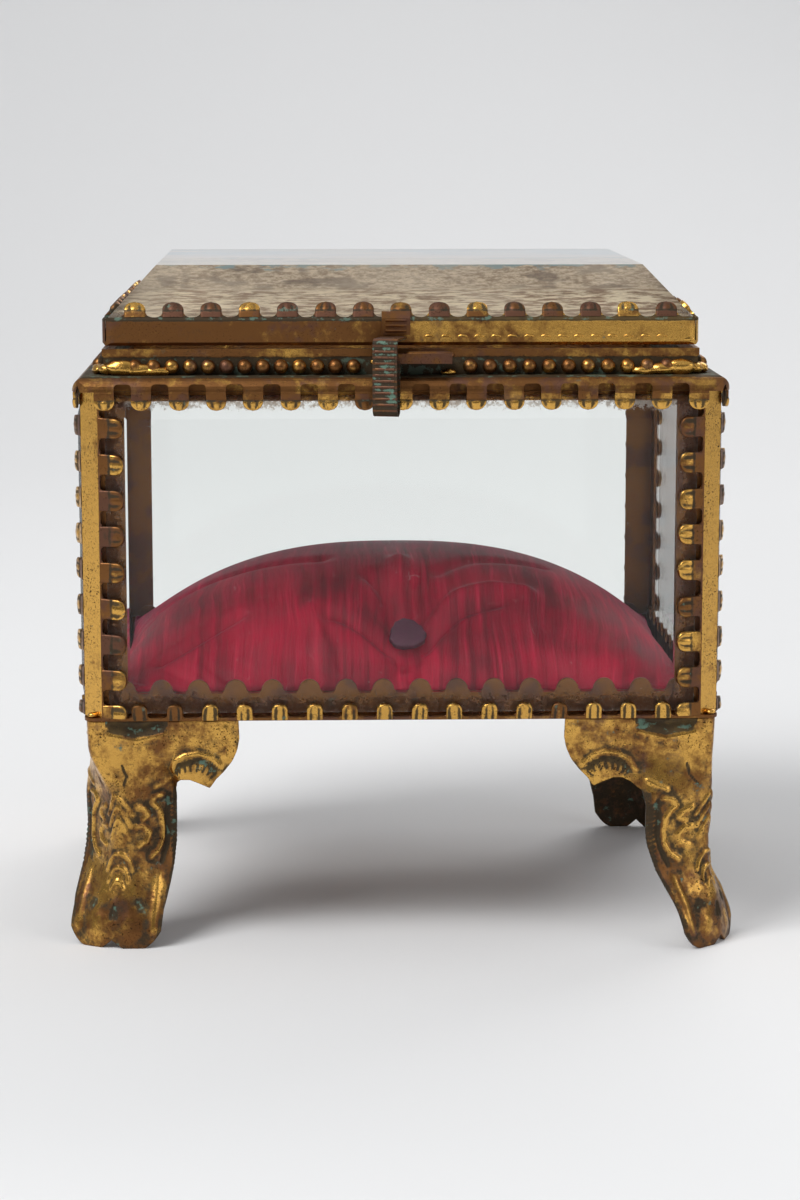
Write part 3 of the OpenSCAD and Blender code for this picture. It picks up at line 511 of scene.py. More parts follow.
FINISHES = {
    "brass along x": lambda n: brass(n, (1, 0, 0), tone=0.6),
    "brass along y": lambda n: brass(n, (0, 1, 0), tone=0.6),
    "brass rail x": lambda n: brass(n, (1, 0, 0), tone=0.58, hollow=rail_groove),
    "brass rail y": lambda n: brass(n, (0, 1, 0), tone=0.58, hollow=rail_groove),
    "brass lid": lambda n: brass(n, (1, 0, 0), tone=0.5, hollow=lid_seams, fade=True, salts=0.7),
    "brass post": lambda n: brass(n, (0, 0, 1), tone=0.85, face=0.15, pits=1.0, line_scale=700.0),
    "brass inside": lambda n: brass(n, (0, 0, 1), tone=0.8, pits=0.8, salts=0.7),
    "brass tabs": lambda n: brass(n, layers=True, pits=0.6, salts=0.7),
    "brass legs": lambda n: brass(n, layers=True, pits=1.0, salts=0.9),
    "brass spring": lambda n: brass(n, (0, 0, 1), tone=1.0, pits=0.6, salts=0.8),
    "brass ribs": lambda n: brass(n, tone=1.0, pits=0.6, salts=1.0, hollow=clasp_grooves),
    "copper bar": lambda n: brass(n, tone=0.75, pits=0.3, salts=0.2),
    "solder": lambda n: brass(n, tone=0.05, pits=0.7, salts=0.5),
    "pane glass": glass,
    "block glass": lambda n: glass(n, thick=True),
    "satin": satin,
    "button cloth": lambda n: woven(n, (0.05, 0.01, 0.025), (0.11, 0.02, 0.05), 2400.0, 0.6),
    "card": lambda n: woven(n, (0.16, 0.12, 0.08), (0.34, 0.28, 0.2)),
    "print": landscape,
}

NODE_FINISH = {
    "base_tray": "brass inside", "cushion_board": "card", "catch_ledge": "brass spring",
    "hinge_leaf_box": "brass along x", "hinge_leaf_lid": "brass along x", "hinge_pin": "brass spring",
    "lid_frame": "brass lid", "lid_glass": "block glass", "lid_print": "print", "lid_backing": "card",
    "clasp_plate": "brass spring", "clasp_strip": "brass ribs",
}
for side in SIDES:
    axis = "x" if side in ("front", "back") else "y"
    NODE_FINISH.update({"glass_" + side: "pane glass", "top_rail_" + side: "brass rail " + axis,
                        "bottom_rail_" + side: "brass along " + axis})
for corner in CORNERS:
    NODE_FINISH.update({"post_" + corner: "brass post", "angle_" + corner: "brass inside"})


# Legs


# The ridge's stand along the diagonal, half the angle between the flanges, half the width and the lower
# outline of a wing, each as pairs, the first three against the height above the table
RIDGE_AT = ((0, 0.6), (2, 0.6), (4, 0.3), (6, -0.1), (8, -0.7), (10, -1.2), (14, -1.4), (18, -1.1),
            (22, -0.7), (26, -0.2), (30, 0))
FLANGE_AT = ((0, 74), (3, 72), (6, 65), (9, 55), (12, 48), (15, 45), (30, 45))
WIDTH_AT = ((0, 6.4), (3, 6.6), (6, 7.2), (9, 7.9), (12, 8.6), (15, 8.9), (18, 9), (20, 9.4), (21, 9.9))
WING_FOOT_AT = ((9.9, 20.6), (10.6, 21.3), (11.6, 21.8), (12.8, 21.8), (14, 21.3), (15.29, 20.7),
                (16.2, 21.9), (17.3, 22.9), (18.5, 24.3), (19.3, 25.8), (19.6, 27.2))
WING_L, SHANK_W, SHANK_TOP = 19.6, 9.9, 20.6
LEG_T = 0.6
# Turn in degrees, and how far the shank and foot stand off the corner
BENT = (30.0, (-3.2, 0.8), (-2.7, 0.8))
PLAIN = (-10.0, (0.7, 0.4), (0.9, 0.4))
LEGS = {"front_left": (-1, -1, BENT), "front_right": (1, -1, PLAIN), "back_left": (-1, 1, PLAIN),
        "back_right": (1, 1, BENT)}

# Stamped ornament of one half: distance from the ridge and height above the table, radius, height
STROKES = [
    (((10.2, 22.9), (11, 24.2), (12.4, 25), (14.2, 25.3), (15.8, 24.8), (17, 23.5)), 0.3, 0.36),
    (((10.9, 22.7), (11.7, 23.6), (12.9, 24.1), (14.2, 24.3), (15.4, 23.8), (16.1, 22.9)), 0.22, -0.2),
    (((6.9, 19.3), (5.7, 19.1), (5.2, 18.3), (5.9, 17.7), (6.5, 16.6), (6.7, 15), (6.5, 13.4), (5.8, 12.1),
      (4.7, 11.3)), 0.34, 0.34),
    (((7.7, 18.9), (7.4, 16.8), (7.5, 14.6), (7.1, 12.6), (6.2, 10.6)), 0.24, -0.22),
    (((3.0, 18.0), (4.1, 17.6), (4.6, 16.7), (3.8, 16.2)), 0.38, 0.28),
    (((2.8, 15.4), (3.9, 15.3), (4.7, 14.4), (4.2, 13.3), (3.1, 12.9)), 0.38, 0.28),
    (((0.2, 19.8), (1.3, 18.6), (2.3, 17)), 0.28, 0.2),
    (((0.2, 18.2), (1.2, 17), (2.1, 15.4)), 0.28, 0.2),
    (((0.2, 16.6), (1.0, 15.4), (1.7, 13.9)), 0.28, 0.2),
    (((0, 12.1), (0.9, 11.9), (1.7, 11.0), (2.1, 9.8)), 0.26, 0.3),
    (((0, 10.3), (0.8, 10.1), (1.4, 9.3), (1.6, 8.4)), 0.24, 0.26),
    (((0, 8.6), (0.6, 8.4), (1.0, 7.6)), 0.22, 0.22),
    (((5.7, 9), (5.4, 5.5), (5.3, 2.4)), 0.55, 0.22),
    (((2.4, 3.6), (2.7, 2.2)), 1.1, 0.22),
    (((3.2, 5.8), (3.6, 5.2)), 0.4, -0.16),
    (((0.0, 5.2), (0.3, 4.0)), 0.3, -0.18),
    (((3.6, 28.7), (6.5, 28.2), (9.5, 28.8)), 0.5, -0.42),
    (((2.8, 27.6), (6.5, 26.9), (10, 27.8)), 0.35, 0.16),
    (((3.6, 23.6), (3.3, 22.2), (2.2, 21)), 0.16, -0.16),
    (((8.9, 21.6), (7.6, 20.9), (6.3, 20.4)), 0.3, 0.22),
    (((17.9, 28.5), (18.6, 27), (18.4, 25.4), (17, 23.8)), 0.5, 0.14),
]
STROKES += [(((7.8, 18.6 - 0.62 * i), (8.8 - 0.02 * i, 18.3 - 0.62 * i)), 0.15, -0.14) for i in range(16)]
STROKES += [(((13.4 + 2.2 * math.cos(a), 21.5 + 1.5 * math.sin(a)),
              (13.6 + 2.7 * math.cos(a), 21.8 + 2.1 * math.sin(a))), 0.13, -0.14)
            for a in [math.radians(20 + 20 * i) for i in range(8)]]


def distance_to(path, s, z):
    """Distance from each point to a run of straight lines."""
    best = np.full(s.shape, 1e9)
    for (x0, y0), (x1, y1) in zip(path, path[1:]):
        dx, dy = x1 - x0, y1 - y0
        along = np.clip(((s - x0) * dx + (z - y0) * dy) / (dx * dx + dy * dy), 0, 1)
        best = np.minimum(best, np.hypot(s - x0 - along * dx, z - y0 - along * dy))
    return best


def ornament(s, z):
    """Height of the stamping over the plain sheet, raised strokes standing in a shallow moat."""
    relief = np.zeros(s.shape)
    for path, radius, height in STROKES:
        d2 = (distance_to(path, np.abs(s), z) / radius) ** 2
        relief += height * (np.exp(-d2) - (0.4 * np.exp(-d2 / 5) if height > 0 else 0))
    return relief


def look_up(table, at):
    xs, ys = zip(*table)
    return np.interp(at, xs, ys)


def leg_surface(s, z, shape, inset):
    """Points of a leg sheet for the back right corner."""
    turn, mid_lean, foot_lean = shape
    round_r, corner_in = 1.1, 0.55
    bend = ease((26 - z) / 8) * (1 - ease((np.abs(s) - 8) / 4))
    half = np.radians(look_up(FLANGE_AT, z))
    diag = np.radians(45 + turn * bend)
    root = np.sqrt(s * s + round_r * round_r)
    n = np.stack([np.cos(diag), np.sin(diag)])
    t = np.stack([-np.sin(diag), np.cos(diag)])
    normal = n * np.sin(half) + t * np.cos(half) * s / root
    normal /= np.sqrt((normal ** 2).sum(0))
    mid = np.array(mid_lean)[:, None]
    foot = np.array(foot_lean)[:, None]
    stand = (mid + (foot - mid) * ease((12 - z) / 12)) * bend
    corner = np.array([CASE_W / 2 - corner_in, CASE_D / 2 - corner_in])[:, None]
    depth = look_up(RIDGE_AT, z) - (root - round_r) * np.cos(half)
    flat = corner + stand + n * depth + t * s * np.sin(half) - normal * inset
    return np.stack([flat[0], flat[1], z], 1)


def toe(u):
    return 1.1 * np.maximum(0, 1 - np.abs(u) / 0.24) + 2.2 * np.maximum(0, (np.abs(u) - 0.6) / 0.4) ** 2


def leg_sheet(step):
    """Rows of (distance from the ridge, height) for the wings and for the shank, sharing one row."""
    half_cols = int(round(SHANK_W / step))
    wing_cols = int(round((WING_L - SHANK_W) / step))
    u = np.linspace(-1, 1, 2 * half_cols + 1)
    wing = SHANK_W + (WING_L - SHANK_W) * np.arange(1, wing_cols + 1) / wing_cols
    cols = np.concatenate([-wing[::-1], u * SHANK_W, wing])
    foot = np.where(np.abs(cols) <= SHANK_W + 1e-6, SHANK_TOP, look_up(WING_FOOT_AT, np.abs(cols)))
    wing_rows = int(round((LEG_H - SHANK_TOP) / step))
    rows = [(cols, LEG_H + (foot - LEG_H) * j / wing_rows) for j in range(wing_rows + 1)]
    shank_rows = int(round(SHANK_TOP / step))
    shank = []
    for j in range(1, shank_rows + 1):
        h = SHANK_TOP * (1 - j / shank_rows)
        width = min(SHANK_W, float(look_up(WIDTH_AT, h)))
        shank.append((u * width, h + toe(u) * (1 - h / SHANK_TOP)))
    return rows, shank, wing_cols


def make_leg(corner):
    """One stamped leg: an outer and an inner skin, closed along the edge."""
    look = bpy.context.scene.casket_legs
    rows, shank, wing_cols = leg_sheet(look.grid)
    cols = len(rows[0][0])
    u_cols = len(shank[0][0])
    s = np.concatenate([r[0] for r in rows + shank])
    z = np.concatenate([r[1] for r in rows + shank])
    relief = ornament(s, z) * look.relief
    sx, sy, shape = LEGS[corner]
    skins = []
    for inset in (0.0, LEG_T):
        points = leg_surface(s, z, shape, inset - relief)
        points[:, 2] = np.maximum(points[:, 2], 0)
        skins.append(points * (sx, sy, 1))
    count = len(s)
    last = (len(rows) - 1) * cols + wing_cols

    def shank_at(j, i):
        return last + i if j == 0 else len(rows) * cols + (j - 1) * u_cols + i

    quads = grid_faces(len(rows), cols)
    quads += [(shank_at(j, i), shank_at(j, i + 1), shank_at(j + 1, i + 1), shank_at(j + 1, i))
              for j in range(len(shank)) for i in range(u_cols - 1)]
    edges = {}
    for quad in quads:
        for a, b in zip(quad, quad[1:] + quad[:1]):
            edges[(a, b)] = (b, a) in edges or (a, b)
            if (b, a) in edges:
                edges[(b, a)] = True
    faces = list(quads) + [tuple(count + i for i in reversed(q)) for q in quads]
    faces += [(b, a, count + a, count + b) for (a, b), value in edges.items()
              if value is not True and (b, a) not in edges]
    if sx * sy > 0:
        faces = [f[::-1] for f in faces]
    obj = mesh_object("leg_" + corner + "_stamped", np.concatenate(skins), faces)
    # Painted shade and highlight: the moats round the strokes, the shank's edges, the band under the rail and
    # the inner skin count as hollows, which darken as shade; the raised strokes are painted golder as
    # highlight. The tone also grows browner towards the foot, on the outer wings and on the inner skin.
    hollow = np.clip(0.06 - relief * 3.0, 0, 1)
    rim = np.abs(s) > look_up(WIDTH_AT, z) - 0.7
    hollow = np.maximum(hollow, np.where(rim & (z < SHANK_TOP), 0.35, 0))
    hollow = np.maximum(hollow, 0.8 * ease((z - LEG_H + 1.2) / 1.0) * (np.abs(s) > 2.6) * (np.abs(s) < 10.5))
    outer = (np.abs(s) > 6.8) * (z < 20)
    tone = 0.36 - 0.9 * np.clip(relief, 0, 0.4) + 0.4 * ease((16 - z) / 30) + 0.2 * outer
    tone = np.clip(tone, 0, 1)
    point_values(obj, "hollow", np.concatenate([hollow, hollow * 0 + 0.35]))
    point_values(obj, "tone", np.concatenate([tone, tone * 0 + 0.9]))
    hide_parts("leg_" + corner)
    return finish_piece(obj, finish("brass legs"), "box")


# Tabs


def turned(k, vector):
    """A back-side vector turned to side k."""
    c, s = ((1, 0), (0, 1), (-1, 0), (0, -1))[k]
    return np.array([c * vector[0] - s * vector[1], s * vector[0] + c * vector[1], vector[2]], float)


def tab_row(run, pitch):
    count = int(run / pitch + 0.5) + 1
    step = run / (count - 1)
    return [(i - (count - 1) / 2) * step for i in range(count)]


def tab_shell(width, length, start, kind, rng):
    """Grid of (across, along, up) for a tab with a round end, with its hollows and tones. A ridged tab
    starts flat and ends in a raised cap with ridges along it, and a knob is raised all over."""
    across = np.concatenate([[-1.0], np.linspace(-1, 1, 15), [1.0]])
    along = np.concatenate([np.linspace(0, 1, 17), [1.0]])
    lean = rng.uniform(-0.05, 0.05)
    lift = rng.uniform(0.0, 0.1)
    depth = rng.uniform(0.7, 1.2)
    ridges = rng.choice((1.6, 2.0, 2.4))
    points, hollows, shades = [], [], []
    for j, v in enumerate(along):
        b = start + v * (length - start)
        past = max(0.0, (b - (length - width / 2)) / (width / 2))
        half = width / 2 * math.sqrt(max(0.0, 1 - past ** 2.3)) + 0.02
        cap = 1.0 if kind == "knob" else float(ease((v - 0.34) / 0.2))
        for i, u in enumerate(across):
            edge = i in (0, len(across) - 1) or j == len(along) - 1
            ridge = math.cos(u * math.pi * ridges) * cap * (1 - v ** 6)
            round_off = math.sqrt(max(0.0, 1 - 0.9 * u * u)) * math.sqrt(max(0.0, 1 - 0.9 * v ** 6))
            up = 0.03 + (0.05 + 0.15 * cap) * round_off + lift * v
            if kind == "ridged":
                up += 0.055 * depth * ridge
            points.append((u * half + lean * b, b, STRIP_T / 2 + (-STRIP_T if edge else up)))
            # Painted shade and highlight: the tucked edges, the grooves between the ridges and the bend count
            # as hollows, which darken as shade; the raised cap and the ridge crests take a golder tone as
            # highlight, the flat start a browner one.
            step = abs(v - 0.4) < 0.07 and kind == "ridged"
            hollows.append(0.5 if edge else max(0.0, -ridge) * 0.5 * depth + 0.3 * step)
            shades.append(0.35 * (1 - cap) - 0.15 * max(0.0, ridge))
    faces = grid_faces(len(along), len(across))
    return points, faces, hollows, shades


def make_tabs(name, body, rows, tones, seed, kind="ridged", lowest=0.0):
    """Domed tabs over every tab of the given rows, as one piece. A row is origin, row direction, reach
    direction, outward direction, places, width, length and start."""
    rng = random.Random(seed)
    points, faces, hollow, tone = [], [], [], []
    for origin, row, reach, out, places, width, length, start in rows:
        up = np.cross(row, reach)
        side = 1.0 if np.dot(up, out) > 0 else -1.0
        for at in places:
            shell, quads, hollows, shades = tab_shell(width, length, start, kind, rng)
            base = len(points)
            shade = rng.choice(tones) + rng.uniform(-0.08, 0.08)
            for (a, b, c), h, extra in zip(shell, hollows, shades):
                point = origin + row * (at + a) + reach * b + up * side * c
                points.append(np.maximum(point, (-1e3, -1e3, lowest)))
                hollow.append(h)
                tone.append(shade + extra)
            faces += [tuple(base + i for i in (q if side > 0 else q[::-1])) for q in quads]
    obj = mesh_object(name, points, faces)
    point_values(obj, "hollow", hollow)
    point_values(obj, "tone", tone)
    return finish_piece(obj, finish("brass tabs"), body)


def side_size(k):
    return (CASE_W, CASE_D) if k % 2 == 0 else (CASE_D, CASE_W)


def rail_rows(k):
    """The tab rows of the top and bottom rails at side k."""
    w, d = side_size(k)
    lean = math.radians(3.6)
    row, out = turned(k, (1, 0, 0)), turned(k, (0, 1, 0))
    top = (turned(k, (0, d / 2 + 0.65, FOLD_HI + 0.4)), row,
           turned(k, (0, -math.sin(lean), -math.cos(lean))), out, tab_row(w - 6.4, 4.66), 2.5, 2.4, 0.3)
    low = (turned(k, (0, d / 2 - STRIP_T / 2, FOLD_LO)), row,
           turned(k, (0, math.sin(TILT), math.cos(TILT))), out, tab_row(w - 14.2, 4.45), 2.0, 2.1, 0.0)
    return top, low


def post_rows(sx, sy):
    """The tab rows of a corner post, on the front or back and on the side."""
    flip = np.array([sx, sy, 1.0])
    mid = (FOLD_LO + FOLD_HI) / 2 - 1.8
    c, s = math.cos(TILT), math.sin(TILT)
    places = [(i - 4) * 4.59 for i in range(9)]
    up = np.array([0, 0, 1.0])
    edge, face = CHAMFER, STRIP_T / 2
    return [(flip * (CASE_W / 2 - edge, CASE_D / 2 - face, mid), up, flip * (-c, s, 0), flip * (0, 1, 0),
             places, 2.5, 3.3, 0.1),
            (flip * (CASE_W / 2 - face, CASE_D / 2 - edge, mid), up, flip * (s, -c, 0), flip * (1, 0, 0),
             places, 2.5, 3.3, 0.1)]


def lid_rows(k):
    w, d = (LID_W, LID_D) if k % 2 == 0 else (LID_D, LID_W)
    c, s = math.cos(LID_SLOPE), math.sin(LID_SLOPE)
    return (turned(k, (0, d / 2 - STRIP_T / 2, LID_FOLD)), turned(k, (1, 0, 0)), turned(k, (0, -c, s)),
            turned(k, (0, 1, 0)), tab_row(w - 8.4, 4.78), 2.6, 2.7, 0.3)


# Cushion


BUTTON_AT = (0.9, -22.5)
TUFT_R, TUFT_DEPTH = 4.5, 3.4
# Height of the cushion's upright side, and how many times its size the cover is when it is blown up
SIDE_H, BLOWN_SIZE = 1.9, 20.0


def crown(a):
    return np.maximum(0, 1 - np.abs(a) ** 2.5) ** 0.85


def cushion_shape(a, b):
    """The solid's upper face over its plan, a and b running from -1 to 1, and its underside."""
    look = bpy.context.scene.casket_cushion
    lo, hi = (np.array(c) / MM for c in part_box("cushion"))
    half = (hi - lo)[:2] / 2
    x = a * half[0] * (1 - 0.025 * (1 - b * b) * np.abs(a))
    y = b * half[1] * (1 - 0.025 * (1 - a * a) * np.abs(b))
    side = lo[2] + SIDE_H
    rise = look.crown - side + lo[2]
    r2 = ((x - BUTTON_AT[0]) ** 2 + (y - BUTTON_AT[1]) ** 2) / TUFT_R ** 2
    z = side + rise * crown(a) * crown(b) - TUFT_DEPTH * np.exp(-r2)
    return x, y, np.maximum(z, side), lo[2], half


def make_cushion():
    """The filled cushion: a sewn cover blown up as cloth, held along its edge, its floor and its tuft."""
    look = bpy.context.scene.casket_cushion
    nx, ny = ((113, 89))
    a, b = np.meshgrid(np.sin(np.linspace(-1, 1, nx) * math.pi / 2) * 0.5 + np.linspace(-1, 1, nx) * 0.5,
                       np.sin(np.linspace(-1, 1, ny) * math.pi / 2) * 0.5 + np.linspace(-1, 1, ny) * 0.5)
    x, y, z, floor, half = cushion_shape(a.ravel(), b.ravel())
    z = floor + SIDE_H + (z - floor - SIDE_H) * look.start
    points = np.stack([x, y, z], 1)
    r = np.hypot(x - BUTTON_AT[0], y - BUTTON_AT[1])
    edge = (np.abs(a.ravel()) > 0.999) | (np.abs(b.ravel()) > 0.999)
    obj = mesh_object("cushion_cover", points * BLOWN_SIZE, grid_faces(ny, nx))
    held = obj.vertex_groups.new(name="held")
    for i in np.nonzero(edge | (r < 2.2))[0]:
        held.add([int(i)], 1.0, "REPLACE")
    cloth = obj.modifiers.new("Filling", "CLOTH")
    filling = {
        "quality": 6, "mass": 0.3, "tension_stiffness": 12, "compression_stiffness": 12, "shear_stiffness": 4,
        "bending_stiffness": look.stiffness, "use_pressure": True, "uniform_pressure_force": look.pressure,
        "shrink_min": -look.slack, "shrink_max": -look.slack, "vertex_group_mass": "held",
    }
    for key, value in filling.items():
        setattr(cloth.settings, key, value)
    cloth.settings.effector_weights.gravity = 0
    cloth.point_cache.frame_start, cloth.point_cache.frame_end = 1, 30
    scene = bpy.context.scene
    for step in range(1, 27):
        scene.frame_set(step)
    shaped = obj.evaluated_get(bpy.context.evaluated_depsgraph_get()).to_mesh()
    moved = np.zeros(len(shaped.vertices) * 3)
    shaped.vertices.foreach_get("co", moved)
    obj.modifiers.remove(cloth)
    scene.frame_set(1)
    moved = moved.reshape(-1, 3) / BLOWN_SIZE / MM
    shift = moved - points
    far = np.sqrt((shift ** 2).sum(1))
    shift *= np.where(far > look.cap, look.cap / np.maximum(far, 1e-6), 1.0)[:, None]
    shaped_points = points + shift
    for path, reach, height in FOLDS:
        d = distance_to(path, shaped_points[:, 0], shaped_points[:, 1])
        shaped_points[:, 2] += look.crease * height * np.exp(-(d / reach) ** 2) * ~edge
    limit = half - 0.05
    shaped_points[:, :2] = np.clip(shaped_points[:, :2], -limit, limit)
    shaped_points[:, 2] = np.clip(shaped_points[:, 2], floor + 0.3, floor + look.crown + 0.8)
    ring = edge_ring(nx, ny)
    under = shaped_points * (0.985, 0.985, 0) + (0, 0, floor)
    count = len(shaped_points)
    faces = grid_faces(ny, nx) + grid_faces(ny, nx, count, flip=True)
    faces += [(b, a, count + a, count + b) for a, b in zip(ring, ring[1:] + ring[:1])]
    bpy.data.objects.remove(obj)
    cover = mesh_object("cushion_satin", np.concatenate([shaped_points, under]), faces)
    smooth = cover.modifiers.new("Smooth", "SUBSURF")
    smooth.levels = smooth.render_levels = 1
    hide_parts("cushion")
    finish_piece(cover, finish("satin"), "box")
    return cover


# Folds of the cover: plan points, half width and height of each
FOLDS = (
    (((-3.5, -13.5), (-1.6, -16.5), (-0.6, -20.0)), 0.9, -1.1),
    (((2.2, -14.5), (2.0, -17.0), (1.6, -20.0)), 0.8, -0.9),
    (((0.2, -9.0), (0.3, -13.0), (0.5, -18.0)), 1.0, 0.7),
    (((3.8, -21.5), (7.5, -18.5), (12.0, -16.5), (17.0, -16.0)), 1.0, 0.7),
    (((3.6, -23.2), (8.0, -20.4), (13.0, -18.6)), 0.8, -0.7),
    (((-11.8, -19.5), (-10.5, -23.5), (-8.8, -27.0)), 0.6, 0.6),
    (((-10.6, -19.5), (-9.4, -23.5), (-7.8, -27.0)), 0.5, -0.5),
    (((11.2, -22.0), (11.0, -25.0), (11.0, -28.0)), 0.4, 0.4),
    (((16.2, -21.5), (16.0, -25.0), (16.0, -28.0)), 0.4, 0.4),
    (((-31.0, -24.0), (-26.0, -21.5), (-21.0, -19.0)), 0.8, -0.6),
    (((-2.0, -23.5), (-5.5, -22.0), (-9.0, -20.5)), 0.8, -0.7),
    (((-33.0, 3.0), (-22.0, -3.0), (-10.0, -7.0)), 0.9, -0.5),
    (((20.0, -3.0), (10.0, -8.0), (5.0, -13.0)), 0.9, -0.4),
)


def edge_ring(nx, ny):
    """Vertices round a grid, in the order of its faces."""
    return ([i for i in range(nx)] + [j * nx + nx - 1 for j in range(1, ny)]
            + [(ny - 1) * nx + i for i in range(nx - 2, -1, -1)] + [j * nx for j in range(ny - 2, 0, -1)])


def make_button():
    """Covered button: a flat-topped, three-cornered cap with pleats gathered round its rim."""
    lo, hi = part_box("cushion_button")
    centre = (lo + hi) / 2 / MM
    points = []
    spokes, rings = 72, 16
    tip = Matrix.Rotation(math.radians(42), 3, "X")
    for j in range(rings + 1):
        t = j / rings
        flat = 2.3 * math.sin(min(1.0, t * 1.2) * math.pi / 2)
        up = 0.75 * max(0.0, 1 - (t * 0.98) ** 5) - 1.5 * max(0.0, t - 0.86)
        for i in range(spokes):
            around = 2 * math.pi * i / spokes
            radius = flat * (1 + 0.07 * math.cos(3 * around + 0.9))
            pleat = 0.13 * t ** 4 * math.cos(around * 11 + 0.6 * math.sin(3 * around))
            p = Vector(((radius + pleat) * math.cos(around), (radius + pleat) * math.sin(around), up + pleat))
            points.append(tuple(tip @ p + centre))
    faces = [(a, d, c, b) for a, b, c, d in tube_faces(rings, spokes)]
    obj = mesh_object("cushion_button_covered", points, faces)
    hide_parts("cushion_button")
    finish_piece(obj, finish("button cloth"), "box")
    return obj


# The print, the lid's stampings and the catch


def slab(name, lo, hi, bevel):
    """A sheet between two corners in millimetres, its edges broken."""
    bm = bmesh.new()
    bmesh.ops.create_cube(bm, size=1.0)
    size, middle = Vector(hi) - Vector(lo), (Vector(hi) + Vector(lo)) / 2
    for v in bm.verts:
        v.co = Vector(v.co[i] * size[i] + middle[i] for i in range(3))
    bmesh.ops.bevel(bm, geom=bm.edges[:], offset=bevel, segments=2, affect="EDGES")
    points = [tuple(v.co) for v in bm.verts]
    faces = [tuple(v.index for v in f.verts) for f in bm.faces]
    bm.free()
    return mesh_object(name, points, faces, False)


def make_print():
    """The printed sheet, bedded a hair into the underside of the lid's glass."""
    lo, hi = (list(c / MM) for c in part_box("lid_print"))
    hi[2] += 0.03
    obj = slab("lid_print_sheet", lo, hi, 0.04)
    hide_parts("lid_print")
    return finish_piece(obj, finish("print"), "lid")


def make_stamps():
    """Crescents stamped along the foot of the lid's front band."""
    points, faces = [], []
    around, along = 8, 12
    for at in np.arange(3.5, 35.0, 2.1):
        base = len(points)
        for j in range(along + 1):
            turn = math.pi * (0.12 + 0.76 * j / along)
            thick = 0.16 * math.sin(math.pi * j / along) + 0.01
            mid = (at + 0.75 * math.cos(turn), -LID_D / 2, LID_LO + 0.75 + 0.5 * math.sin(turn))
            for i in range(around):
                a = 2 * math.pi * i / around
                out = thick * math.cos(a)
                points.append((mid[0] + out * math.cos(turn), mid[1] + thick * math.sin(a) * 0.8,
                               mid[2] + out * math.sin(turn)))
        faces += tube_faces(along, around, base)
        faces.append(tuple(base + i for i in reversed(range(around))))
        faces.append(tuple(base + along * around + i for i in range(around)))
    obj = mesh_object("lid_stamped_crescents", points, faces)
    return finish_piece(obj, finish("solder"), "lid")


def make_catch_bar():
    """Copper bar that lies on the catch ledge, right of the clasp, its right end drawn to a blunt point."""
    points = []
    around = 20
    lo, hi = (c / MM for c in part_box("catch_ledge"))
    profile = ((0.0, 0.0), (0.0, 0.3), (0.12, 0.42), (0.8, 0.46), (4.2, 0.48), (5.4, 0.46), (5.9, 0.34),
               (6.15, 0.16), (6.2, 0.0))
    left = 0.4
    for x, r in profile:
        for i in range(around):
            a = 2 * math.pi * i / around
            points.append((left + x, lo[1] + 0.75 + r * math.cos(a), hi[2] - 0.18 + r * math.sin(a)))
    obj = mesh_object("catch_bar", points, tube_faces(len(profile) - 1, around))
    weld = obj.modifiers.new("Weld", "WELD")
    weld.merge_threshold = 0.00001
    return finish_piece(obj, finish("copper bar"), "box")


# Solder


def lump(centre, size, seed):
    """Points and faces of an uneven drop of solder."""
    bm = bmesh.new()
    bmesh.ops.create_icosphere(bm, subdivisions=3, radius=1.0)
    shift = Vector((seed * 3.7, seed * 1.3, 0))
    points = []
    for v in bm.verts:
        swell = 1 + 0.16 * noise.noise(v.co * 1.7 + shift)
        points.append(tuple(centre[i] + v.co[i] * size[i] * swell for i in range(3)))
    faces = [tuple(v.index for v in f.verts) for f in bm.faces]
    bm.free()
    return points, faces


def make_solder():
    """Drops and fillets of solder where the strips meet."""
    look = bpy.context.scene.casket_metal
    spots = []
    for sx in (-1, 1):
        for sy in (-1, 1):
            spots += [((sx * (35.2 - 2.2 * step), sy * 29.9, 74.4 - 0.2 * step), (2.0, 0.8, 1.0 - 0.2 * step))
                      for step in range(3)]
            spots += [((sx * 38.3, sy * (27.0 - 1.8 * step), 74.1), (0.8, 1.6, 0.7)) for step in range(2)]
            spots.append(((sx * 37.0, sy * 28.7, 74.2), (1.2, 1.2, 0.8)))
    spots += [((5.9, -29.9, 73.8), (1.0, 0.6, 0.45)), ((-3.5, -29.5, 75.1), (0.5, 0.4, 0.3)),
              ((36.2, -28.9, 77.9), (0.9, 0.35, 0.4)), ((39.6, -31.2, 30.3), (0.7, 0.6, 0.35)),
              ((-39.5, -31.2, 30.3), (0.6, 0.6, 0.35))]
    points, faces = [], []
    for i, (centre, size) in enumerate(spots):
        shell, tris = lump(centre, [s * look.solder for s in size], i + 1)
        faces += [tuple(len(points) + k for k in f) for f in tris]
        points += shell
    obj = mesh_object("solder_seams", points, faces)
    return finish_piece(obj, finish("solder"), "box")


# Stage


# Place and turn of the camera, in metres and radians
CAMERA_AT = (-0.01154, -0.4074, 0.1057)
CAMERA_TURN = (math.pi / 2 - 0.160, 0, -0.030)


def aim(obj, target):
    obj.rotation_euler = (Vector(target) - obj.location).to_track_quat("-Z", "Y").to_euler()


def lamp(name, at, size, power):
    data = bpy.data.lights.new(name, "AREA")
    data.shape = "RECTANGLE"
    data.size, data.size_y = size
    data.energy = power
    obj = bpy.data.objects.new(name, data)
    obj.location = at
    bpy.context.scene.collection.objects.link(obj)
    aim(obj, (0, 0, 0.04))


def pale_paper():
    """Plain pale paper."""
    look = bpy.context.scene.casket_stage
    mat, tree, shader, _ = new_material("pale paper")
    connect(tree, shader, Base_Color=(*look.paper, 1), Roughness=0.9)
    return mat


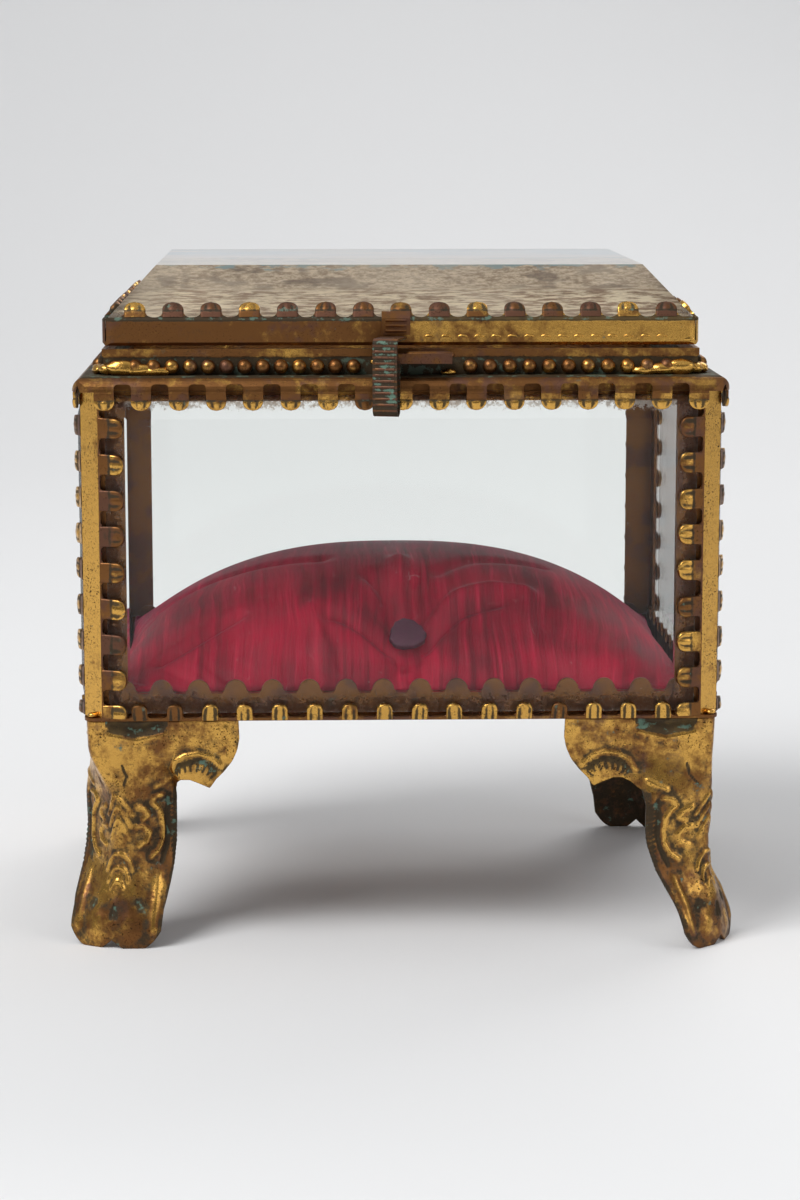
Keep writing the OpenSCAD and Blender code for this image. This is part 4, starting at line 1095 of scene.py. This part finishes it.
def make_stage():
    look = bpy.context.scene.casket_stage
    scene = bpy.context.scene
    data = bpy.data.cameras.new("Camera")
    data.lens, data.sensor_width = 90.0, 36.0
    camera = bpy.data.objects.new("Camera", data)
    camera.location, camera.rotation_euler = CAMERA_AT, CAMERA_TURN
    data.clip_start, data.clip_end = 0.02, 20
    scene.collection.objects.link(camera)
    scene.camera = camera
    reach, rise, bend = 3.0, 1.6, 0.5
    profile = [(-reach, 0.0), (0.5, 0.0)]
    profile += [(0.5 + bend * math.sin(a), bend - bend * math.cos(a))
                for a in np.linspace(0, math.pi / 2, 16)[1:]]
    profile.append((0.5 + bend, rise))
    points = [(x * 1000, y * 1000, z * 1000) for x in (-reach, reach) for y, z in profile]
    paper = mesh_object("backdrop", points, grid_faces(2, len(profile)))
    paper.data.materials.append(pale_paper())
    world = bpy.data.worlds.new("Studio")
    scene.world = world
    world.use_nodes = True
    tree = world.node_tree
    tree.nodes.clear()
    axes = split(tree, add(tree, "ShaderNodeTexCoord").outputs["Generated"])
    high = math_node(tree, "MAXIMUM", ramp(tree, axes["Z"], 0.3, 0.95), ramp(tree, axes["Y"], -0.2, 0.6))
    sky = mix_colour(tree, high, (0.2, 0.2, 0.21, 1), (0.95, 0.97, 1.0, 1))
    path = add(tree, "ShaderNodeLightPath").outputs
    seen = math_node(tree, "MAXIMUM", path["Is Camera Ray"], path["Is Transmission Ray"])
    mirrored = times(tree, path["Is Glossy Ray"], 0.07)
    seen = math_node(tree, "MAXIMUM", seen, mirrored)
    colour = mix_colour(tree, seen, sky, (1.5, 1.5, 1.5, 1))
    light = add(tree, "ShaderNodeBackground", {"Color": colour, "Strength": look.world})
    add(tree, "ShaderNodeOutputWorld", {"Surface": light.outputs[0]})
    lamp("Key", (-0.5, -0.45, 0.75), (0.5, 0.5), look.key)
    lamp("Fill", (0.75, -0.5, 0.35), (0.6, 0.5), look.key * 0.2)
    lamp("Rim", (0.3, 0.6, 0.6), (0.6, 0.3), look.key * 0.3)
    scene.view_settings.view_transform = "Standard"


# The add-on: sizes and colours a user would change


def number(name, description, default, low, high):
    return bpy.props.FloatProperty(name=name, description=description, default=default, min=low, max=high)


def colour(name, description, default):
    return bpy.props.FloatVectorProperty(name=name, description=description, default=default, min=0, max=1,
                                         size=3, subtype="COLOR")


class CASKET_PG_metal(bpy.types.PropertyGroup):
    """Looks of the brass"""
    gold: colour("Gold", "Clean metal", (0.66, 0.37, 0.085))
    brown: colour("Brown", "Tarnished metal", (0.2, 0.088, 0.03))
    salts: colour("Salts", "Green salts in the hollows", (0.10, 0.18, 0.13))
    solder: number("Solder", "Size of the solder drops against the usual", 1.0, 0.2, 2.0)


class CASKET_PG_glass(bpy.types.PropertyGroup):
    """Looks of the glass"""
    tint: colour("Tint", "Colour of the glass", (0.97, 0.985, 0.975))
    dust: number("Dust", "How much the specks and hairs show", 0.5, 0.0, 1.0)


class CASKET_PG_legs(bpy.types.PropertyGroup):
    """Stamping of the legs"""
    relief: number("Relief", "Height of the stamping against the usual", 1.3, 0.0, 1.6)
    grid: number("Grid", "Spacing of the points of a leg, in millimetres", 0.24, 0.15, 1.0)


class CASKET_PG_cushion(bpy.types.PropertyGroup):
    """Shape and cloth of the cushion"""
    satin: colour("Satin", "Cloth of the cushion", (0.5, 0.008, 0.042))
    crown: number("Crown", "Height of the crown over the underside, in millimetres", 16.68, 10.0, 20.0)
    pressure: number("Pressure", "How hard the filling pushes", 4.0, 0.0, 20.0)
    slack: number("Slack", "Spare cloth, as a share of its length", 0.05, 0.0, 0.3)
    stiffness: number("Stiffness", "Resistance of the cloth to bending", 0.4, 0.0, 10.0)
    cap: number("Cap", "Furthest that filling may move the cloth, in millimetres", 0.35, 0.0, 5.0)
    start: number("Start", "Height of the cover before filling, against the solid's", 0.96, 0.5, 1.0)
    crease: number("Crease", "Depth of the folds against the usual", 1.7, 0.0, 2.5)


class CASKET_PG_stage(bpy.types.PropertyGroup):
    """Floor and light"""
    paper: colour("Paper", "Colour of the floor and backdrop", (0.82, 0.82, 0.82))
    key: number("Key", "Power of the main lamp, in watts", 7.0, 0.0, 100.0)
    world: number("World", "Strength of the room light", 0.56, 0.0, 3.0)


class CasketOperator(bpy.types.Operator):
    """Base of the pieces' operators"""
    bl_options = {"REGISTER", "UNDO"}

    def execute(self, context):
        self.build()
        return {"FINISHED"}


class CASKET_OT_stage(CasketOperator):
    """Makes the camera, the lamps and the pale floor"""
    bl_idname, bl_label = "casket.stage", "Stage"

    def build(self):
        make_stage()


class CASKET_OT_finishes(CasketOperator):
    """Gives every solid of the frame its material"""
    bl_idname, bl_label = "casket.finishes", "Metal, glass and card"

    def build(self):
        for node, name in NODE_FINISH.items():
            obj = NODES[node]
            obj.data.materials.clear()
            obj.data.materials.append(finish(name))


class CASKET_OT_legs(CasketOperator):
    """Stamps the four legs"""
    bl_idname, bl_label = "casket.legs", "Legs"

    def build(self):
        for name in CORNERS:
            make_leg(name)


class CASKET_OT_tabs(CasketOperator):
    """Folds the domed tabs of the strips"""
    bl_idname, bl_label = "casket.tabs", "Tabs"

    def build(self):
        for k, name in enumerate(SIDES):
            top, low = rail_rows(k)
            make_tabs("tabs_top_" + name, "box", [top], (0.05, 0.2, 0.35, 0.7), 3 + k)
            make_tabs("tabs_bottom_" + name, "box", [low], (0.1, 0.3, 0.6), 13 + k, "knob")
        for i, name in enumerate(CORNERS):
            sx, sy, _ = LEGS[name]
            make_tabs("tabs_post_" + name, "box", post_rows(sx, sy), (0.2, 0.5, 0.8), 23 + i,
                      lowest=FOLD_LO + 0.25)
        make_tabs("tabs_lid", "lid", [lid_rows(k) for k in range(4)], (0.1, 0.5, 0.8, 1.0), 33)


class CASKET_OT_cushion(CasketOperator):
    """Sews and fills the cushion and covers its button"""
    bl_idname, bl_label = "casket.cushion", "Cushion"

    def build(self):
        make_cushion()
        make_button()


class CASKET_OT_lid(CasketOperator):
    """Lays the print in the lid and stamps its front band"""
    bl_idname, bl_label = "casket.lid", "Print and stampings"

    def build(self):
        make_print()
        make_stamps()


class CASKET_OT_catch(CasketOperator):
    """Lays the copper bar on the catch"""
    bl_idname, bl_label = "casket.catch", "Catch bar"

    def build(self):
        make_catch_bar()


class CASKET_OT_solder(CasketOperator):
    """Drops solder on the seams"""
    bl_idname, bl_label = "casket.solder", "Solder"

    def build(self):
        make_solder()


GROUP_CLASSES = (CASKET_PG_metal, CASKET_PG_glass, CASKET_PG_legs, CASKET_PG_cushion, CASKET_PG_stage)
OPERATORS = (CASKET_OT_stage, CASKET_OT_finishes, CASKET_OT_legs, CASKET_OT_tabs, CASKET_OT_cushion,
             CASKET_OT_lid, CASKET_OT_catch, CASKET_OT_solder)


class CASKET_PT_panel(bpy.types.Panel):
    """Lists the sizes, the colours and the pieces"""
    bl_label = "Casket"
    bl_space_type = "VIEW_3D"
    bl_region_type = "UI"
    bl_category = "Casket"

    def draw(self, context):
        for cls in GROUP_CLASSES:
            box = self.layout.box()
            box.label(text=cls.__doc__)
            settings = getattr(context.scene, group_name(cls))
            for name in cls.__annotations__:
                box.prop(settings, name)
        for cls in OPERATORS:
            self.layout.operator(cls.bl_idname)


def group_name(cls):
    return cls.__name__.lower().replace("_pg_", "_")


def register():
    for cls in GROUP_CLASSES + OPERATORS + (CASKET_PT_panel,):
        bpy.utils.register_class(cls)
    for cls in GROUP_CLASSES:
        setattr(bpy.types.Scene, group_name(cls), bpy.props.PointerProperty(type=cls))


def unregister():
    for cls in GROUP_CLASSES:
        delattr(bpy.types.Scene, group_name(cls))
    for cls in reversed(GROUP_CLASSES + OPERATORS + (CASKET_PT_panel,)):
        bpy.utils.unregister_class(cls)


def main():
    register()
    for cls in OPERATORS:
        module, name = cls.bl_idname.split(".")
        getattr(getattr(bpy.ops, module), name)()


if __name__ == "__main__":
    main()
